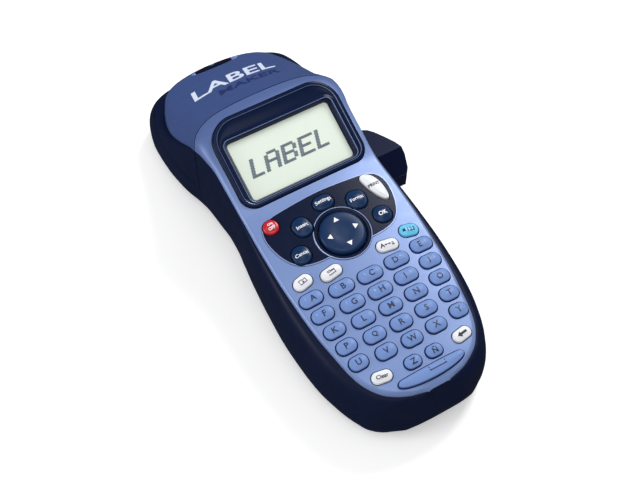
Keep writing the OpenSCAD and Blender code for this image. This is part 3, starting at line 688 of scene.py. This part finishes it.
def cushion(outline, spine, low, top, fillet, dome, dish=0.0, wall=0):
    """Key cap: straight wall, rounded edge and domed top that closes on a line or a point."""
    if signed_area(outline) < 0:
        outline = outline[::-1]
    rings = [[(x, y, low) for x, y in outline]]
    shoulder = top - dome - fillet
    for a in np.radians(np.linspace(0, 90, 7)):
        inner = grown(outline, -fillet * (1 - math.cos(a)))
        rings.append([(x, y, shoulder + fillet * math.sin(a)) for x, y in inner])
    rim = rings[-1]
    ends = np.asarray(spine, float)
    axis = ends[1] - ends[0]
    length2 = max(float(axis @ axis), 1e-9)
    for s in (0.15, 0.3, 0.45, 0.6, 0.75, 0.9):
        ring = []
        for x, y, _ in rim:
            p = np.array((x, y))
            t = min(max(float((p - ends[0]) @ axis) / length2, 0), 1)
            goal = ends[0] + t * axis
            q = p + s * (goal - p)
            z = top - dome + dome * (1 - (1 - s) ** 2) - dish * smoothstep(s, 0.2, 0.8)
            ring.append((q[0], q[1], z))
        rings.append(ring)
    return loft(rings, [wall] * 3 + [0] * (len(rings) - 3))


# ---- Legends -----------------------------------------------------------


def text_shape(body, width=None, height=None, bold=0.0, slant=0.0, step=0.7):
    """Closed lettering in X and Y, centred, cut into cells that can follow a curved surface.

    Its z runs from -1 below the surface to +1 above it.
    """
    curve = bpy.data.curves.new("legend", "FONT")
    curve.body = body
    curve.size = 1.0
    curve.extrude = 0.5
    curve.offset = bold
    curve.shear = slant
    curve.resolution_u = 3
    o = add_object("legend", curve)
    graph = bpy.context.evaluated_depsgraph_get()
    me = o.evaluated_get(graph).to_mesh()
    bm = bmesh.new()
    bm.from_mesh(me)
    bmesh.ops.remove_doubles(bm, verts=bm.verts, dist=1e-4)
    v = np.array([p.co[:] for p in bm.verts])
    lo, hi = v.min(0), v.max(0)
    scale = width / (hi[0] - lo[0]) if width else height / (hi[1] - lo[1])
    for axis, normal in enumerate(((1, 0, 0), (0, 1, 0))):
        for at in np.arange(lo[axis] + step / scale, hi[axis], step / scale):
            bmesh.ops.bisect_plane(
                bm, geom=bm.verts[:] + bm.edges[:] + bm.faces[:], dist=1e-5,
                plane_co=Vector(normal) * float(at), plane_no=normal,
            )
    bmesh.ops.triangulate(bm, faces=[f for f in bm.faces if len(f.verts) > 4])
    bm.verts.index_update()
    v = np.array([p.co[:] for p in bm.verts])
    faces = [tuple(p.index for p in f.verts) for f in bm.faces]
    bm.free()
    bpy.data.objects.remove(o)
    bpy.data.curves.remove(curve)
    v[:, :2] = (v[:, :2] - (lo + hi)[:2] / 2) * scale
    v[:, 2] = np.sign(v[:, 2])
    return Shape(v, faces)


def flat_shape(pts):
    return prism(pts, -1, 1)


def stroke(points, width, closed=False):
    """Line of a given width through points, as one flat strip per stretch."""
    out = Shape()
    pts = [np.array(p, float) for p in points]
    pairs = list(zip(pts, pts[1:] + pts[:1])) if closed else list(zip(pts, pts[1:]))
    for a, b in pairs:
        d = (b - a) / max(np.linalg.norm(b - a), 1e-9)
        n = np.array((-d[1], d[0])) * width / 2
        a2, b2 = a - d * width / 2, b + d * width / 2
        out.add(flat_shape([a2 - n, b2 - n, b2 + n, a2 + n]))
    return out


LEGEND_LIFT, LEGEND_DEPTH = 0.13, 0.15


def printed(key_shape, legend, x, y, turn):
    """Lays a flat legend on the top of a key: z = +1 ends just above it, z = -1 just inside it."""
    tree = BVHTree.FromPolygons([Vector(p) for p in key_shape.v], key_shape.f)
    c, s = math.cos(math.radians(turn)), math.sin(math.radians(turn))

    def put(a, b, h):
        px, py = x + c * a - s * b, y + s * a + c * b
        hit = tree.ray_cast(Vector((px, py, 20)), Vector((0, 0, -1)))[0]
        z = hit.z if hit is not None else KEY_PROUD
        return px, py, z + (LEGEND_LIFT if h > 0 else -LEGEND_DEPTH)

    return Shape(legend.v, legend.f, legend.m).map(put)


ARROW = [(-1.25, -0.9), (1.25, -0.9), (0, 1.15)]
# Outline of the pictogram on the save and load keys
FOLDER = [(-1.5, -0.9), (1.5, -0.9), (1.5, 0.6), (0.1, 0.6), (-0.25, 0.95), (-1.5, 0.95)]
# For each key, its legend shapes with their offsets from the key's middle
LEGENDS = {
    "on_off": [
        (text_shape("ON", width=2.4, bold=0.03), 0, 0.95),
        (text_shape("OFF", width=3.1, bold=0.03), 0, -0.95),
    ],
    "save": [(stroke(FOLDER, 0.26, True), 0, 0.1), (stroke([(0, 0.2), (0, -0.5)], 0.24), 0, 0.1),
             (flat_shape([(-0.5, -0.25), (0.5, -0.25), (0, -0.8)]), 0, 0.15)],
    "load": [(stroke(FOLDER, 0.26, True), 0, 0.0), (stroke([(-1.5, 0.3), (1.5, 0.3)], 0.22), 0, 0)],
    "caps": [
        (text_shape("A", height=1.9, bold=0.02), -2.4, 0), (text_shape("a", height=1.4), 2.3, -0.2),
        (stroke([(-0.9, 0), (0.9, 0)], 0.3), 0, 0),
        (flat_shape([(-1.5, 0), (-0.7, 0.45), (-0.7, -0.45)]), 0, 0),
        (flat_shape([(1.5, 0), (0.7, -0.45), (0.7, 0.45)]), 0, 0),
    ],
    "numbers": [
        (flat_shape([(-0.6, -0.6), (0.6, -0.6), (0.6, 0.6), (-0.6, 0.6)]), -2.2, 0),
        (text_shape("123", width=3.1, bold=0.015), 0.9, 0),
    ],
    "z": [(text_shape("Z", height=2.5, bold=0.015), 0.2, 0)],
    "n_tilde": [(text_shape("Ñ", height=2.9, bold=0.015), 0.2, 0.1)],
    "backspace": [
        (flat_shape([(-2.4, 0), (-0.6, 1.25), (-0.6, 0.5), (2.2, 0.5), (2.2, -0.5), (-0.6, -0.5),
                     (-0.6, -1.25)]), 0, 0),
    ],
    "space": [(stroke([(-3.6, 0.9), (-3.6, -0.6), (3.6, -0.6), (3.6, 0.9)], 0.34), 2.6, 0.6)],
    "navigation": [
        (flat_shape(placed(ARROW, 0, 0, turn)), dx, dy)
        for turn, dx, dy in ((0, 0, 6.1), (-90, 6.1, 0), (90, -6.1, 0), (180, 0, -6.1))
    ],
}
for name, word, width, bold, dx, dy in (
    ("insert", "Insert", 5.2, 0.012, 0, 0), ("settings", "Settings", 7.2, 0.012, 0, 0.1),
    ("format", "Format", 6.2, 0.012, 0, 0), ("ok", "OK", 3.9, 0.02, 0, 0),
    ("cancel", "Cancel", 5.8, 0.012, 0, 0), ("print", "PRINT", 5.4, 0.01, -0.3, 1.0),
    ("clear", "Clear", 5.0, 0.012, 0, 0),
):
    LEGENDS[name] = [(text_shape(word, width=width, bold=bold), dx, dy)]
KEY_LOOK = {
    "on_off": (RED, INK_WHITE), "numbers": (CYAN, INK_DARK), "print": (WHITE, INK_BLACK),
    "save": (WHITE, INK_DARK), "load": (WHITE, INK_DARK), "caps": (WHITE, INK_DARK),
    "clear": (WHITE, INK_BLACK), "backspace": (WHITE, INK_BLACK),
}
for name in ("insert", "settings", "format", "ok", "cancel", "navigation"):
    KEY_LOOK[name] = (FUNCTION, INK_WHITE)
UPRIGHT = {"insert", "format", "cancel", "settings", "ok", "on_off", "print"}

for name, (outline, (x, y), turn) in KEY_OUTLINES.items():
    body_mat, ink = KEY_LOOK.get(name, (BLUE, INK_DARK))
    pts = np.asarray(outline)
    local = placed(pts - (x, y), 0, 0, -turn)
    half_w = max(p[0] for p in local)
    half_h = max(p[1] for p in local)
    reach = max(half_w - half_h, 0.02) * 0.9
    spine = placed([(-reach, 0), (reach, 0)], x, y, turn)
    if name == "navigation":
        cap = cushion(outline, spine, KEY_LOW, KEY_PROUD + 0.5, 1.5, 0.25, dish=0.45)
    elif name == "print":
        spine = [(24.3, 30.5), (22.4, 38.5)]
        cap = cushion(outline, spine, KEY_LOW, KEY_PROUD + 0.4, 0.8, 0.5)
    elif name == "space":
        spine = [(-11.5, -46.2), (11.5, -46.2)]
        cap = cushion(outline, spine, KEY_LOW, KEY_PROUD + 0.2, 0.8, 0.3, wall=3)
    elif body_mat in (FUNCTION, RED):
        cap = cushion(outline, spine, KEY_LOW, KEY_PROUD + 0.7, 1.0, 0.9)
    else:
        # Blue keys take the painted shade colour on their walls
        wall = 3 if body_mat is BLUE else 0
        cap = cushion(outline, spine, KEY_LOW, KEY_PROUD + 0.3, 0.85, 0.5, wall=wall)
    marks = Shape()
    for legend, dx, dy in LEGENDS.get(name, ()):
        lx, ly = placed([(dx, dy)], x, y, turn)[0]
        marks.add(printed(cap, legend, lx, ly, 0 if name in UPRIGHT else turn))
    mats = [body_mat, ink, INK_PALE, KEY_SIDE_SHADE]
    if name in LETTERS:
        n = LETTERS.index(name)
        shift = (0.7 if n % 5 < 3 else -0.7) if n < 10 else 0
        letter = text_shape(name.upper(), height=2.55, bold=0.007)
        marks.add(printed(cap, letter, x + shift, y + 0.1, 0))
        if n < 10:
            small = text_shape("1234567890"[n], height=1.1)
            small = printed(cap, small, x + (-2.4 if shift > 0 else 1.9), y + 0.7, 0).paint(2)
    marks.paint(1)
    if name in LETTERS and n < 10:
        marks.add(small)
    cap.add(marks)
    piece(
        f"vis_key_{name}", crowned(cap), mats, f"key_{name}", (f"key_{name}",),
        angle=40, weld=False,
    )


# ---- Housings and door -------------------------------------------------


def openings(grow):
    """Holes in the panel for all the keys."""
    cut = Shape()
    for outline, _, _ in KEY_OUTLINES.values():
        cut.add(prism(grown(outline, grow), -9, 8))
    return on_panel(cut)


def mirrored(half):
    return list(half) + [(-x, y) for x, y in reversed(half)]


INLAY_OUTLINE = softened(mirrored(INLAY_HALF), 3)
BEZEL_W, BEZEL_LOW, BEZEL_HIGH, BEZEL_LOW_R, BEZEL_HIGH_R = 60.0, -17.0, 24.0, 7.0, 12.0


def frame_outline(x, low, high, r_low, r_high):
    """Rounded frame with matching points whatever its size, counterclockwise from the upper right."""
    steps, side = 12, 6
    corners = (
        (x - r_high, high - r_high, r_high, 0), (-x + r_high, high - r_high, r_high, 90),
        (-x + r_low, low + r_low, r_low, 180), (x - r_low, low + r_low, r_low, 270),
    )
    arcs = [
        [
            (cx + r * math.cos(math.radians(a0 + 90 * k / steps)),
             cy + r * math.sin(math.radians(a0 + 90 * k / steps)))
            for k in range(steps + 1)
        ]
        for cx, cy, r, a0 in corners
    ]
    out = []
    for k, arc in enumerate(arcs):
        out += arc
        a, b = arc[-1], arcs[(k + 1) % 4][0]
        out += [
            (a[0] + (b[0] - a[0]) * j / side, a[1] + (b[1] - a[1]) * j / side)
            for j in range(1, side)
        ]
    return out


def bezel_ring(inset):
    return frame_outline(
        BEZEL_W / 2 - inset, BEZEL_LOW + inset, BEZEL_HIGH - inset,
        BEZEL_LOW_R - inset, BEZEL_HIGH_R - inset,
    )


# Index 2 paints the insides, key holes and seam cuts near black as painted shade
SHELL = [NAVY, PEARL, GAP_SHADE, SEAM_SHADE_BLUE]
hull = form()
room = form(WALL, -96.0, 97.5, WALL).paint(2)

front = csg(
    hull,
    [
        ("DIFFERENCE", room),
        # Faces cut by the rim line take index 3, the seam's painted shade
        ("INTERSECT", above(RIM_LINE, 3)),
        ("DIFFERENCE", behind_seam(-0.12, 2)),
        ("DIFFERENCE", openings(KEY_GAP).paint(2)),
        ("DIFFERENCE", on_panel(prism(INLAY_OUTLINE, -6, 12, 2))),
        ("DIFFERENCE", on_panel(disc(RING_R, 0, NAV_Y, -6, 12, 96, 2))),
        ("DIFFERENCE", on_display(prism(bezel_ring(-0.15), -9, 12, 2))),
    ],
    SHELL,
)
piece("vis_front_housing", front, SHELL, "housing", ("front_housing",))

# Door: blue cap over a navy band, with the label slot in a scooped recess
HINGE_X, HINGE_Y, HINGE_Z = 12.0, 98.5, 7.0
low_z = TUB_RIM_Z + DOOR_GAP
DOOR_LINE = [(35.5, low_z), (94, low_z), (100, low_z + 0.9), (110, low_z + 0.9)]
SLOT_Y, SLOT_Z, SLOT_TILT = 98.0, 25.2, -46.0
SLOT_W, SLOT_H, SLOT_R, SLOT_SHIFT = 19.0, 4.0, 1.6, -1.4
SCOOP_Y, SCOOP_Z, SCOOP_HALF_W, SCOOP_R = 95.4, 28.2, 12.6, 4.6
HINGE_PIN_R, HINGE_BORE_R = 1.5, 1.55


def ball(rx, ry, rz, index):
    n, m = 40, 20
    rings = []
    for j in range(1, m):
        b = math.pi * j / m - math.pi / 2
        rings.append([
            (rx * math.cos(b) * math.cos(a), ry * math.cos(b) * math.sin(a), rz * math.sin(b))
            for a in np.linspace(0, 2 * math.pi, n, endpoint=False)
        ])
    return loft(rings).paint(index)


scoop = ball(SCOOP_HALF_W, SCOOP_R, SCOOP_R, 3).map(lambda x, y, z: (x, SCOOP_Y + y, SCOOP_Z + z))
slot_outline = placed(rounded(SLOT_W, SLOT_H, SLOT_R), 0, SLOT_SHIFT)
slot_cut = tilted(prism(slot_outline, -7, 7, 2), SLOT_TILT, SLOT_Y, SLOT_Z)
leaves, pin_holes = Shape(), Shape()
for s in (-1, 1):
    leaves.add(side_prism(
        [(HINGE_Y - 2.7, HINGE_Z + 1), (HINGE_Y - 1.6, HINGE_Z - 2), (HINGE_Y + 1.6, HINGE_Z - 2),
         (HINGE_Y + 2.7, HINGE_Z + 1), (HINGE_Y + 0.6, TUB_RIM_Z + 3), (HINGE_Y - 2.2, TUB_RIM_Z + 3)],
        s * HINGE_X - 3, s * HINGE_X + 3,
    ))
    pin_holes.add(rod(HINGE_BORE_R, s * HINGE_X - 5, s * HINGE_X + 5, HINGE_Y, HINGE_Z))
# Index 1, the door's top, takes the darker copy of the pearl blue: painted shade
DOOR_MATS = [NAVY, SHADED_LID, GAP_SHADE, LIP, INK_LID, INK_LID_DARK]
door = csg(
    hull,
    [
        ("DIFFERENCE", room),
        ("INTERSECT", behind_seam(DOOR_GAP, 2)),
        ("INTERSECT", above(DOOR_LINE, 2)),
        ("DIFFERENCE", scoop),
        ("DIFFERENCE", slot_cut),
        ("UNION", leaves),
        ("DIFFERENCE", pin_holes),
    ],
    DOOR_MATS,
)


def on_door(body, x, y, width, squat, index):
    """Lettering laid on the door's top: its lower faces sink in, its upper ones stand just proud."""
    words = text_shape(body, width=width, bold=0.016, slant=0.15, step=1.6)
    words.map(lambda a, b, h: (a, squat * b, h))
    tree = BVHTree.FromPolygons([Vector(p) for p in door.v], door.f)

    def put(a, b, h):
        hit = tree.ray_cast(Vector((x + a, y + b, 90)), Vector((0, 0, -1)))[0]
        return x + a, y + b, hit.z + (0.12 if h > 0 else -0.2)

    return Shape(words.v, words.f).map(put).paint(index)


door.add(on_door("LABEL", -1, 74.4, 41, 0.78, 4))
door.add(on_door("MAKER", 3, 65.0, 30, 0.72, 5))
piece("vis_cassette_door", door, DOOR_MATS, "door", ("cassette_door",))

# Rear housing: the navy tub with its battery bay, posts and window for the lever
LEVER_X, LEVER_Y, LEVER_Z0, LEVER_Z1 = 30.4, 29.0, 13.6, 32.6
SCREWS = [(-18.3, -88.7), (18.3, -88.7), (-28.6, -6), (28.6, -6)]
SCREW_BORE_R, SCREW_POST_R = 2.6, 3.2
LEVER_PIN_R, LEVER_HUB_R = 2.0, 3.0
LEVER_WINDOW = (26, 46, -2.3, 25.5)
BAY_Y0, BAY_Y1, BAY_HALF = -75.0, -20.0, 29.5
# Index 2 paints the insides and cut faces near black as painted shade
REAR_MATS = [NAVY, NAVY, GAP_SHADE, GAP_SHADE]
features = block(-BAY_HALF - 1.6, BAY_HALF + 1.6, BAY_Y0 - 1.6, BAY_Y1 + 1.6, 1, 19.9)
inner = csg(
    features,
    [("UNION", disc(SCREW_POST_R, x, y, 1, 24, 32)) for x, y in SCREWS]
    + [("UNION", disc(4, LEVER_X, LEVER_Y, 1, LEVER_Z0 - 0.4, 32)),
       ("UNION", block(-37, 22, 38.2, 40, 1, 32)),
       ("UNION", block(-12.1, -9.9, 85.9, 93.9, 1, 16.5)),
       ("UNION", block(9.9, 12.1, 85.9, 93.9, 1, 16.5)),
       ("INTERSECT", form(0.6, -98, 98, 0.0))],
    REAR_MATS,
).paint(2)
notches = Shape()
for s in (-1, 1):
    notches.add(block(s * HINGE_X - 3.35, s * HINGE_X + 3.35, HINGE_Y - 3.2, 112, 3.8, 34, 2))
bores = Shape()
for x, y in SCREWS:
    bores.add(disc(SCREW_BORE_R, x, y, -1, 3, 32, 2))
rear = csg(
    hull,
    [
        ("DIFFERENCE", room),
        ("UNION", inner),
        ("DIFFERENCE", above(RIM_LINE, 2)),
        ("DIFFERENCE", block(-BAY_HALF, BAY_HALF, BAY_Y0, BAY_Y1, -1, 18.3, 2)),
        ("DIFFERENCE", block(*LEVER_WINDOW, LEVER_Z0 - 0.6, LEVER_Z1 + 0.6, 2)),
        ("DIFFERENCE", disc(LEVER_HUB_R + 0.3, LEVER_X, LEVER_Y, LEVER_Z0 - 0.4, 20.3, 48, 2)),
        ("DIFFERENCE", bores),
        ("DIFFERENCE", notches),
        ("UNION", disc(LEVER_PIN_R, LEVER_X, LEVER_Y, LEVER_Z0 - 2, LEVER_Z0 + 10, 32)),
        ("UNION", rod(HINGE_PIN_R, -HINGE_X - 4, -HINGE_X + 4, HINGE_Y, HINGE_Z)),
        ("UNION", rod(HINGE_PIN_R, HINGE_X - 4, HINGE_X + 4, HINGE_Y, HINGE_Z)),
    ],
    REAR_MATS,
)
piece("vis_rear_housing", rear, REAR_MATS, "housing", ("rear_housing",))

# ---- Display -----------------------------------------------------------

WINDOW_X, WINDOW_Y = 25.5, 14.0
LCD_X, LCD_Y = 24.3, 13.3


def window_ring(grow, x=WINDOW_X, y=WINDOW_Y, r=2.5):
    return frame_outline(x + grow, -y - grow, y + grow, max(r + grow, 0.6), max(r + grow, 0.6))


# Rings marked 1 are the crests of the ridges, which take the painted highlight
profile = [
    (bezel_ring(0), -3.2, 0), (bezel_ring(0), 0.4, 0), (bezel_ring(0.12), 0.75, 0),
    (bezel_ring(0.4), 1.05, 0), (bezel_ring(0.9), 1.18, 0), (bezel_ring(1.7), 1.2, 1),
    (bezel_ring(1.95), 1.0, 0), (bezel_ring(2.6), 0.75, 0), (window_ring(2.4), 0.62, 0),
    (window_ring(1.7), 0.7, 0), (window_ring(1.2), 1.0, 0), (window_ring(0.7), 1.2, 1),
    (window_ring(0.35), 1.15, 0), (window_ring(0.1), 0.9, 0),
    (window_ring(0, LCD_X, LCD_Y, 1.6), -1.4, 0), (window_ring(0, LCD_X, LCD_Y, 1.6), -3.2, 0),
]
bezel = loft(
    [[(x, y, z) for x, y in ring] for ring, z, _ in profile], [m for _, _, m in profile], True
)
piece(
    "vis_display_bezel", on_display(bezel), [BEZEL, BEZEL_HIGHLIGHT], "housing", ("display_bezel",),
    angle=50,
)

lcd_pts = rounded(2 * LCD_X - 0.1, 2 * LCD_Y - 0.1, 1.6)
lcd = cushion(lcd_pts, [(-11, 0), (11, 0)], -3.0, -1.45, 0.1, 0.05)
# Each word on the display is drawn in dots, as such displays do
FONT = {
    "L": "1000 1000 1000 1000 1000 1000 1111", "A": "01110 10001 10001 11111 10001 10001 10001",
    "B": "11110 10001 10001 11110 10001 10001 11110", "E": "11111 10000 10000 11110 10000 10000 11111",
}
dots = Shape()
WORD = "LABEL"
DOT_PITCH = 0.94
STEP_X, STEP_Y, LETTER_SPACE, LEAN = 1.42, 1.25, 1.6, 0.3
dot_outline = rounded(1.85 * DOT_PITCH, STEP_Y * DOT_PITCH, 0.06, 2)


def advance(letter):
    """Width of a letter and the space after it, in pitches."""
    return len(FONT[letter].split()[0]) * STEP_X + LETTER_SPACE


cursor = -sum(advance(c) for c in WORD) * DOT_PITCH / 2 + 0.7
for c in WORD:
    for j, row in enumerate(FONT[c].split()):
        for i, bit in enumerate(row):
            if bit == "1":
                px = cursor + i * STEP_X * DOT_PITCH + (3 - j) * LEAN
                py = (3 - j) * STEP_Y * DOT_PITCH - 0.4
                dots.add(prism(placed(dot_outline, px, py), -1.6, -1.38))
    cursor += advance(c) * DOT_PITCH
lcd.add(dots.paint(1))
piece("vis_lcd", on_display(lcd), [GLASS_GLOW, PIXEL], "housing", ("lcd_module",), weld=False)

# ---- Function panel ----------------------------------------------------


def slab(top, bottom):
    """Plate that follows the panel's crown, in the panel's frame."""
    xs = np.arange(-34.0, 34.1, 1.0)
    ring = [(a, top - CROWN * a * a) for a in xs] + [(a, bottom - CROWN * a * a) for a in xs[::-1]]
    return prism(ring, -60, 10).map(lambda a, b, c: (a, -c, b))


# Index 2 paints the walls of the holes near black as painted shade
INLAY_MATS = [INLAY, RIM_HIGHLIGHT, GAP_SHADE]
cut_keys = Shape()
for outline, _, _ in KEY_OUTLINES.values():
    cut_keys.add(prism(grown(outline, KEY_GAP), -9, 8, 2))
inlay = csg(
    slab(0.15, -2.4),
    [
        ("INTERSECT", csg(
            prism(grown(INLAY_OUTLINE, -0.1), -12, 12),
            [("UNION", disc(RING_R - 0.1, 0, NAV_Y, -12, 12, 96))], INLAY_MATS,
        )),
        ("DIFFERENCE", disc(10.9, 0, NAV_Y, -12, 12, 96, 2)),
        ("DIFFERENCE", cut_keys),
    ],
    INLAY_MATS,
)
# Thin raised bead round the function panel, in the painted highlight colour
highlight_bead = csg(
    slab(0.3, -0.6),
    [
        ("INTERSECT", prism(grown(INLAY_OUTLINE, -0.1), -12, 12)),
        ("DIFFERENCE", prism(grown(INLAY_OUTLINE, -0.5), -12, 12)),
        ("DIFFERENCE", disc(RING_R - 0.3, 0, NAV_Y, -12, 12, 96)),
        ("DIFFERENCE", cut_keys),
    ],
    INLAY_MATS,
).paint(1)
# The ring's crest, marked 1, takes the painted highlight
ring_profile = [
    (12.3, -1.5, 0), (12.3, 0.25, 1), (12.15, 0.42, 1), (11.9, 0.42, 0), (11.6, 0.25, 0),
    (10.35, -0.35, 0), (10.2, -0.8, 0), (10.2, -1.5, 0),
]
dish = loft(
    [[(x, y, z) for x, y in circle(r, 0, NAV_Y, 96)] for r, z, _ in ring_profile],
    [m for _, _, m in ring_profile], True,
).map(lambda x, y, z: (x, y, z - CROWN * x * x))
dish = csg(dish, [("DIFFERENCE", cut_keys)], INLAY_MATS)
inlay.add(highlight_bead).add(dish)
piece(
    "vis_function_panel", on_panel(inlay), INLAY_MATS, "housing", ("function_panel",),
    weld=False,
)

# ---- Cutter lever ------------------------------------------------------

THUMB_PLAN = [
    (28.4, 4), (34, 0.6), (46.9, 0.2), (48.2, 1.8), (48.4, 5.4), (46.6, 11), (44, 16),
    (41.4, 20.4), (39.4, 22.8), (36.8, 24.2), (31.4, 25), (31, 28), (28.4, 28),
]
ARM_END = (12.5, 87.0)
thumb = csg(
    prism(THUMB_PLAN, LEVER_Z0, LEVER_Z1),
    [("INTERSECT", side_prism(
        [(-5, 10), (40, 10), (40, LEVER_Z1), (7.5, LEVER_Z1), (0.5, 21.5), (-5, 21.5)], 20, 60,
    ))],
    [LEVER],
)
reach = np.array(ARM_END) - (LEVER_X, LEVER_Y)
angle = math.degrees(math.atan2(reach[1], reach[0]))
span = float(np.linalg.norm(reach))
arm = prism(placed(rounded(span + 3.2, 3.2, 1.5), span / 2, 0), 17.6, 19.9)
arm = arm.map(lambda x, y, z: (*placed([(x, y)], LEVER_X, LEVER_Y, angle)[0], z))
lever = csg(
    thumb,
    [
        ("UNION", disc(LEVER_HUB_R, LEVER_X, LEVER_Y, LEVER_Z0, 19.9, 48)),
        ("UNION", arm),
        ("UNION", disc(1.2, *ARM_END, 17.6, 21.8, 32)),
        ("DIFFERENCE", disc(LEVER_PIN_R + 0.05, LEVER_X, LEVER_Y, 0, 60, 48)),
    ],
    [LEVER],
)
piece("vis_cutter_lever", lever, [LEVER], "lever", ("cutter_lever",), bevel=0.6)

# ---- Battery cover, cells ----------------------------------------------

COVER_Z, COVER_T, COVER_HINGE_Y = 0.3, 2.0, BAY_Y0 + 1.3
half = BAY_HALF - 0.3
plate = prism(
    [(-half, COVER_Z + 1.3), (-half + 2, COVER_Z), (half - 2, COVER_Z), (half, COVER_Z + 1.3),
     (half, COVER_Z + COVER_T), (-half, COVER_Z + COVER_T)],
    COVER_HINGE_Y, BAY_Y1 - 0.3,
).map(lambda x, z, y: (x, y, z))
grooves = Shape()
for i in range(5):
    grooves.add(block(-7 + i * 0.6, 7 - i * 0.6, BAY_Y1 - 10.4 + i * 1.6, BAY_Y1 - 9.6 + i * 1.6, -1, 0.8))
cover = csg(
    plate,
    [
        ("DIFFERENCE", grooves),
        ("UNION", rod(COVER_T / 2, -27, 27, COVER_HINGE_Y, COVER_Z + COVER_T / 2)),
        ("UNION", rod(0.7, -30.5, 30.5, COVER_HINGE_Y, COVER_Z + COVER_T / 2)),
    ],
    [NAVY],
)
piece("vis_battery_cover", cover, [NAVY], "cover", ("battery_cover",), bevel=0.2)

cells = Shape()
CELL_Z, CELL_R, CELL_L, CELL_Y0 = 10.2, 7.1, 50.5, -72.6
for i in range(4):
    x = (i - 1.5) * 14.6
    turned = i % 2
    rows = [
        (0.0, 5.6, 2), (0.1, 6.9, 2), (0.5, CELL_R, 1), (13.0, CELL_R, 1), (13.01, CELL_R, 0),
        (48.6, CELL_R, 0), (49.1, 6.9, 2), (49.3, 6.3, 2), (49.3, 2.8, 2), (50.3, 2.7, 2), (50.5, 2.3, 2),
    ]
    rings = [
        [(x + a, CELL_Y0 + (CELL_L - s if turned else s), CELL_Z + b) for a, b in circle(r, n=48)]
        for s, r, _ in rows
    ]
    cell = loft(rings, [m for _, _, m in rows])
    if not turned:
        cell.f = [f[::-1] for f in cell.f]
    cells.add(cell)
piece("vis_batteries", cells, [CELL, CELL_DARK, STEEL], "housing", ("batteries",))

# ---- Stage and light ---------------------------------------------------

STUDIO_DARK = (0.05, 0.055, 0.07, 1)
floor = add_object("floor", disc(1800, 0, 0, -4.0, -0.02, 96).mesh("floor", []))
paper = material("floor_paper", "EEEEEE", 0.8, "EAEAEA", bump=0.0, specular=0.02, emission=0.42)
# Mirror rays find the floor dark, as it would be under a studio's black flags
node, link = shader_tools(paper.node_tree)
ray = node("LightPath")
dark_glow = node("Emission")
dark_glow.inputs["Color"].default_value = STUDIO_DARK
either = node("MixShader")
found = {n.type: n for n in paper.node_tree.nodes}
link(ray.outputs["Is Glossy Ray"], either.inputs[0])
link(found["BSDF_PRINCIPLED"].outputs[0], either.inputs[1])
link(dark_glow.outputs[0], either.inputs[2])
link(either.outputs[0], found["OUTPUT_MATERIAL"].inputs["Surface"])
floor.data.materials.append(paper)


def area_light(name, place, goal, size, power):
    data = bpy.data.lights.new(name, "AREA")
    data.shape = "DISK"
    data.size = size
    data.energy = power
    lamp = add_object(name, data)
    lamp.location = place
    lamp.rotation_euler = (Vector(goal) - Vector(place)).to_track_quat("-Z", "Y").to_euler()


area_light("key_light", (0.60, 0.30, 0.72), (0, 0, 0.02), 0.4, 6.0)
area_light("left_light", (-0.75, 0.22, 0.30), (0, 0.03, 0.03), 0.45, 2.6)
area_light("top_light", (-0.10, -0.25, 1.2), (0, 0, 0.02), 0.9, 4.0)

# A bright soft sky for diffuse light, and a dark studio with a soft zenith for reflections
world = bpy.data.worlds.new("studio")
world.use_nodes = True
world.node_tree.nodes.clear()
node, link = shader_tools(world.node_tree)


def ramp(*stops):
    made = node("ValToRGB")
    for element, (position, colour) in zip(made.color_ramp.elements, stops):
        element.position = position
        element.color = colour
    return made


towards = node("TexCoord")
ray = node("LightPath")
height = node("SeparateXYZ")
soft = ramp((0.0, (0.62, 0.64, 0.68, 1)), (0.9, (1, 1, 1, 1)))
side = node("VectorMath")
side.operation = "DOT_PRODUCT"
side.inputs[1].default_value = (-0.72, -0.30, 0.62)
gloss = ramp((0.35, STUDIO_DARK), (0.95, (0.85, 0.88, 0.95, 1)))
pick = node("Mix")
pick.data_type = "RGBA"
sky = node("Background")
sky.inputs["Strength"].default_value = 0.44
link(towards.outputs["Generated"], height.inputs[0])
link(height.outputs["Z"], soft.inputs["Fac"])
link(towards.outputs["Generated"], side.inputs[0])
link(side.outputs["Value"], gloss.inputs["Fac"])
link(ray.outputs["Is Glossy Ray"], pick.inputs["Factor"])
link(soft.outputs["Color"], pick.inputs["A"])
link(gloss.outputs["Color"], pick.inputs["B"])
link(pick.outputs["Result"], sky.inputs["Color"])
link(sky.outputs[0], node("OutputWorld").inputs[0])
bpy.context.scene.world = world
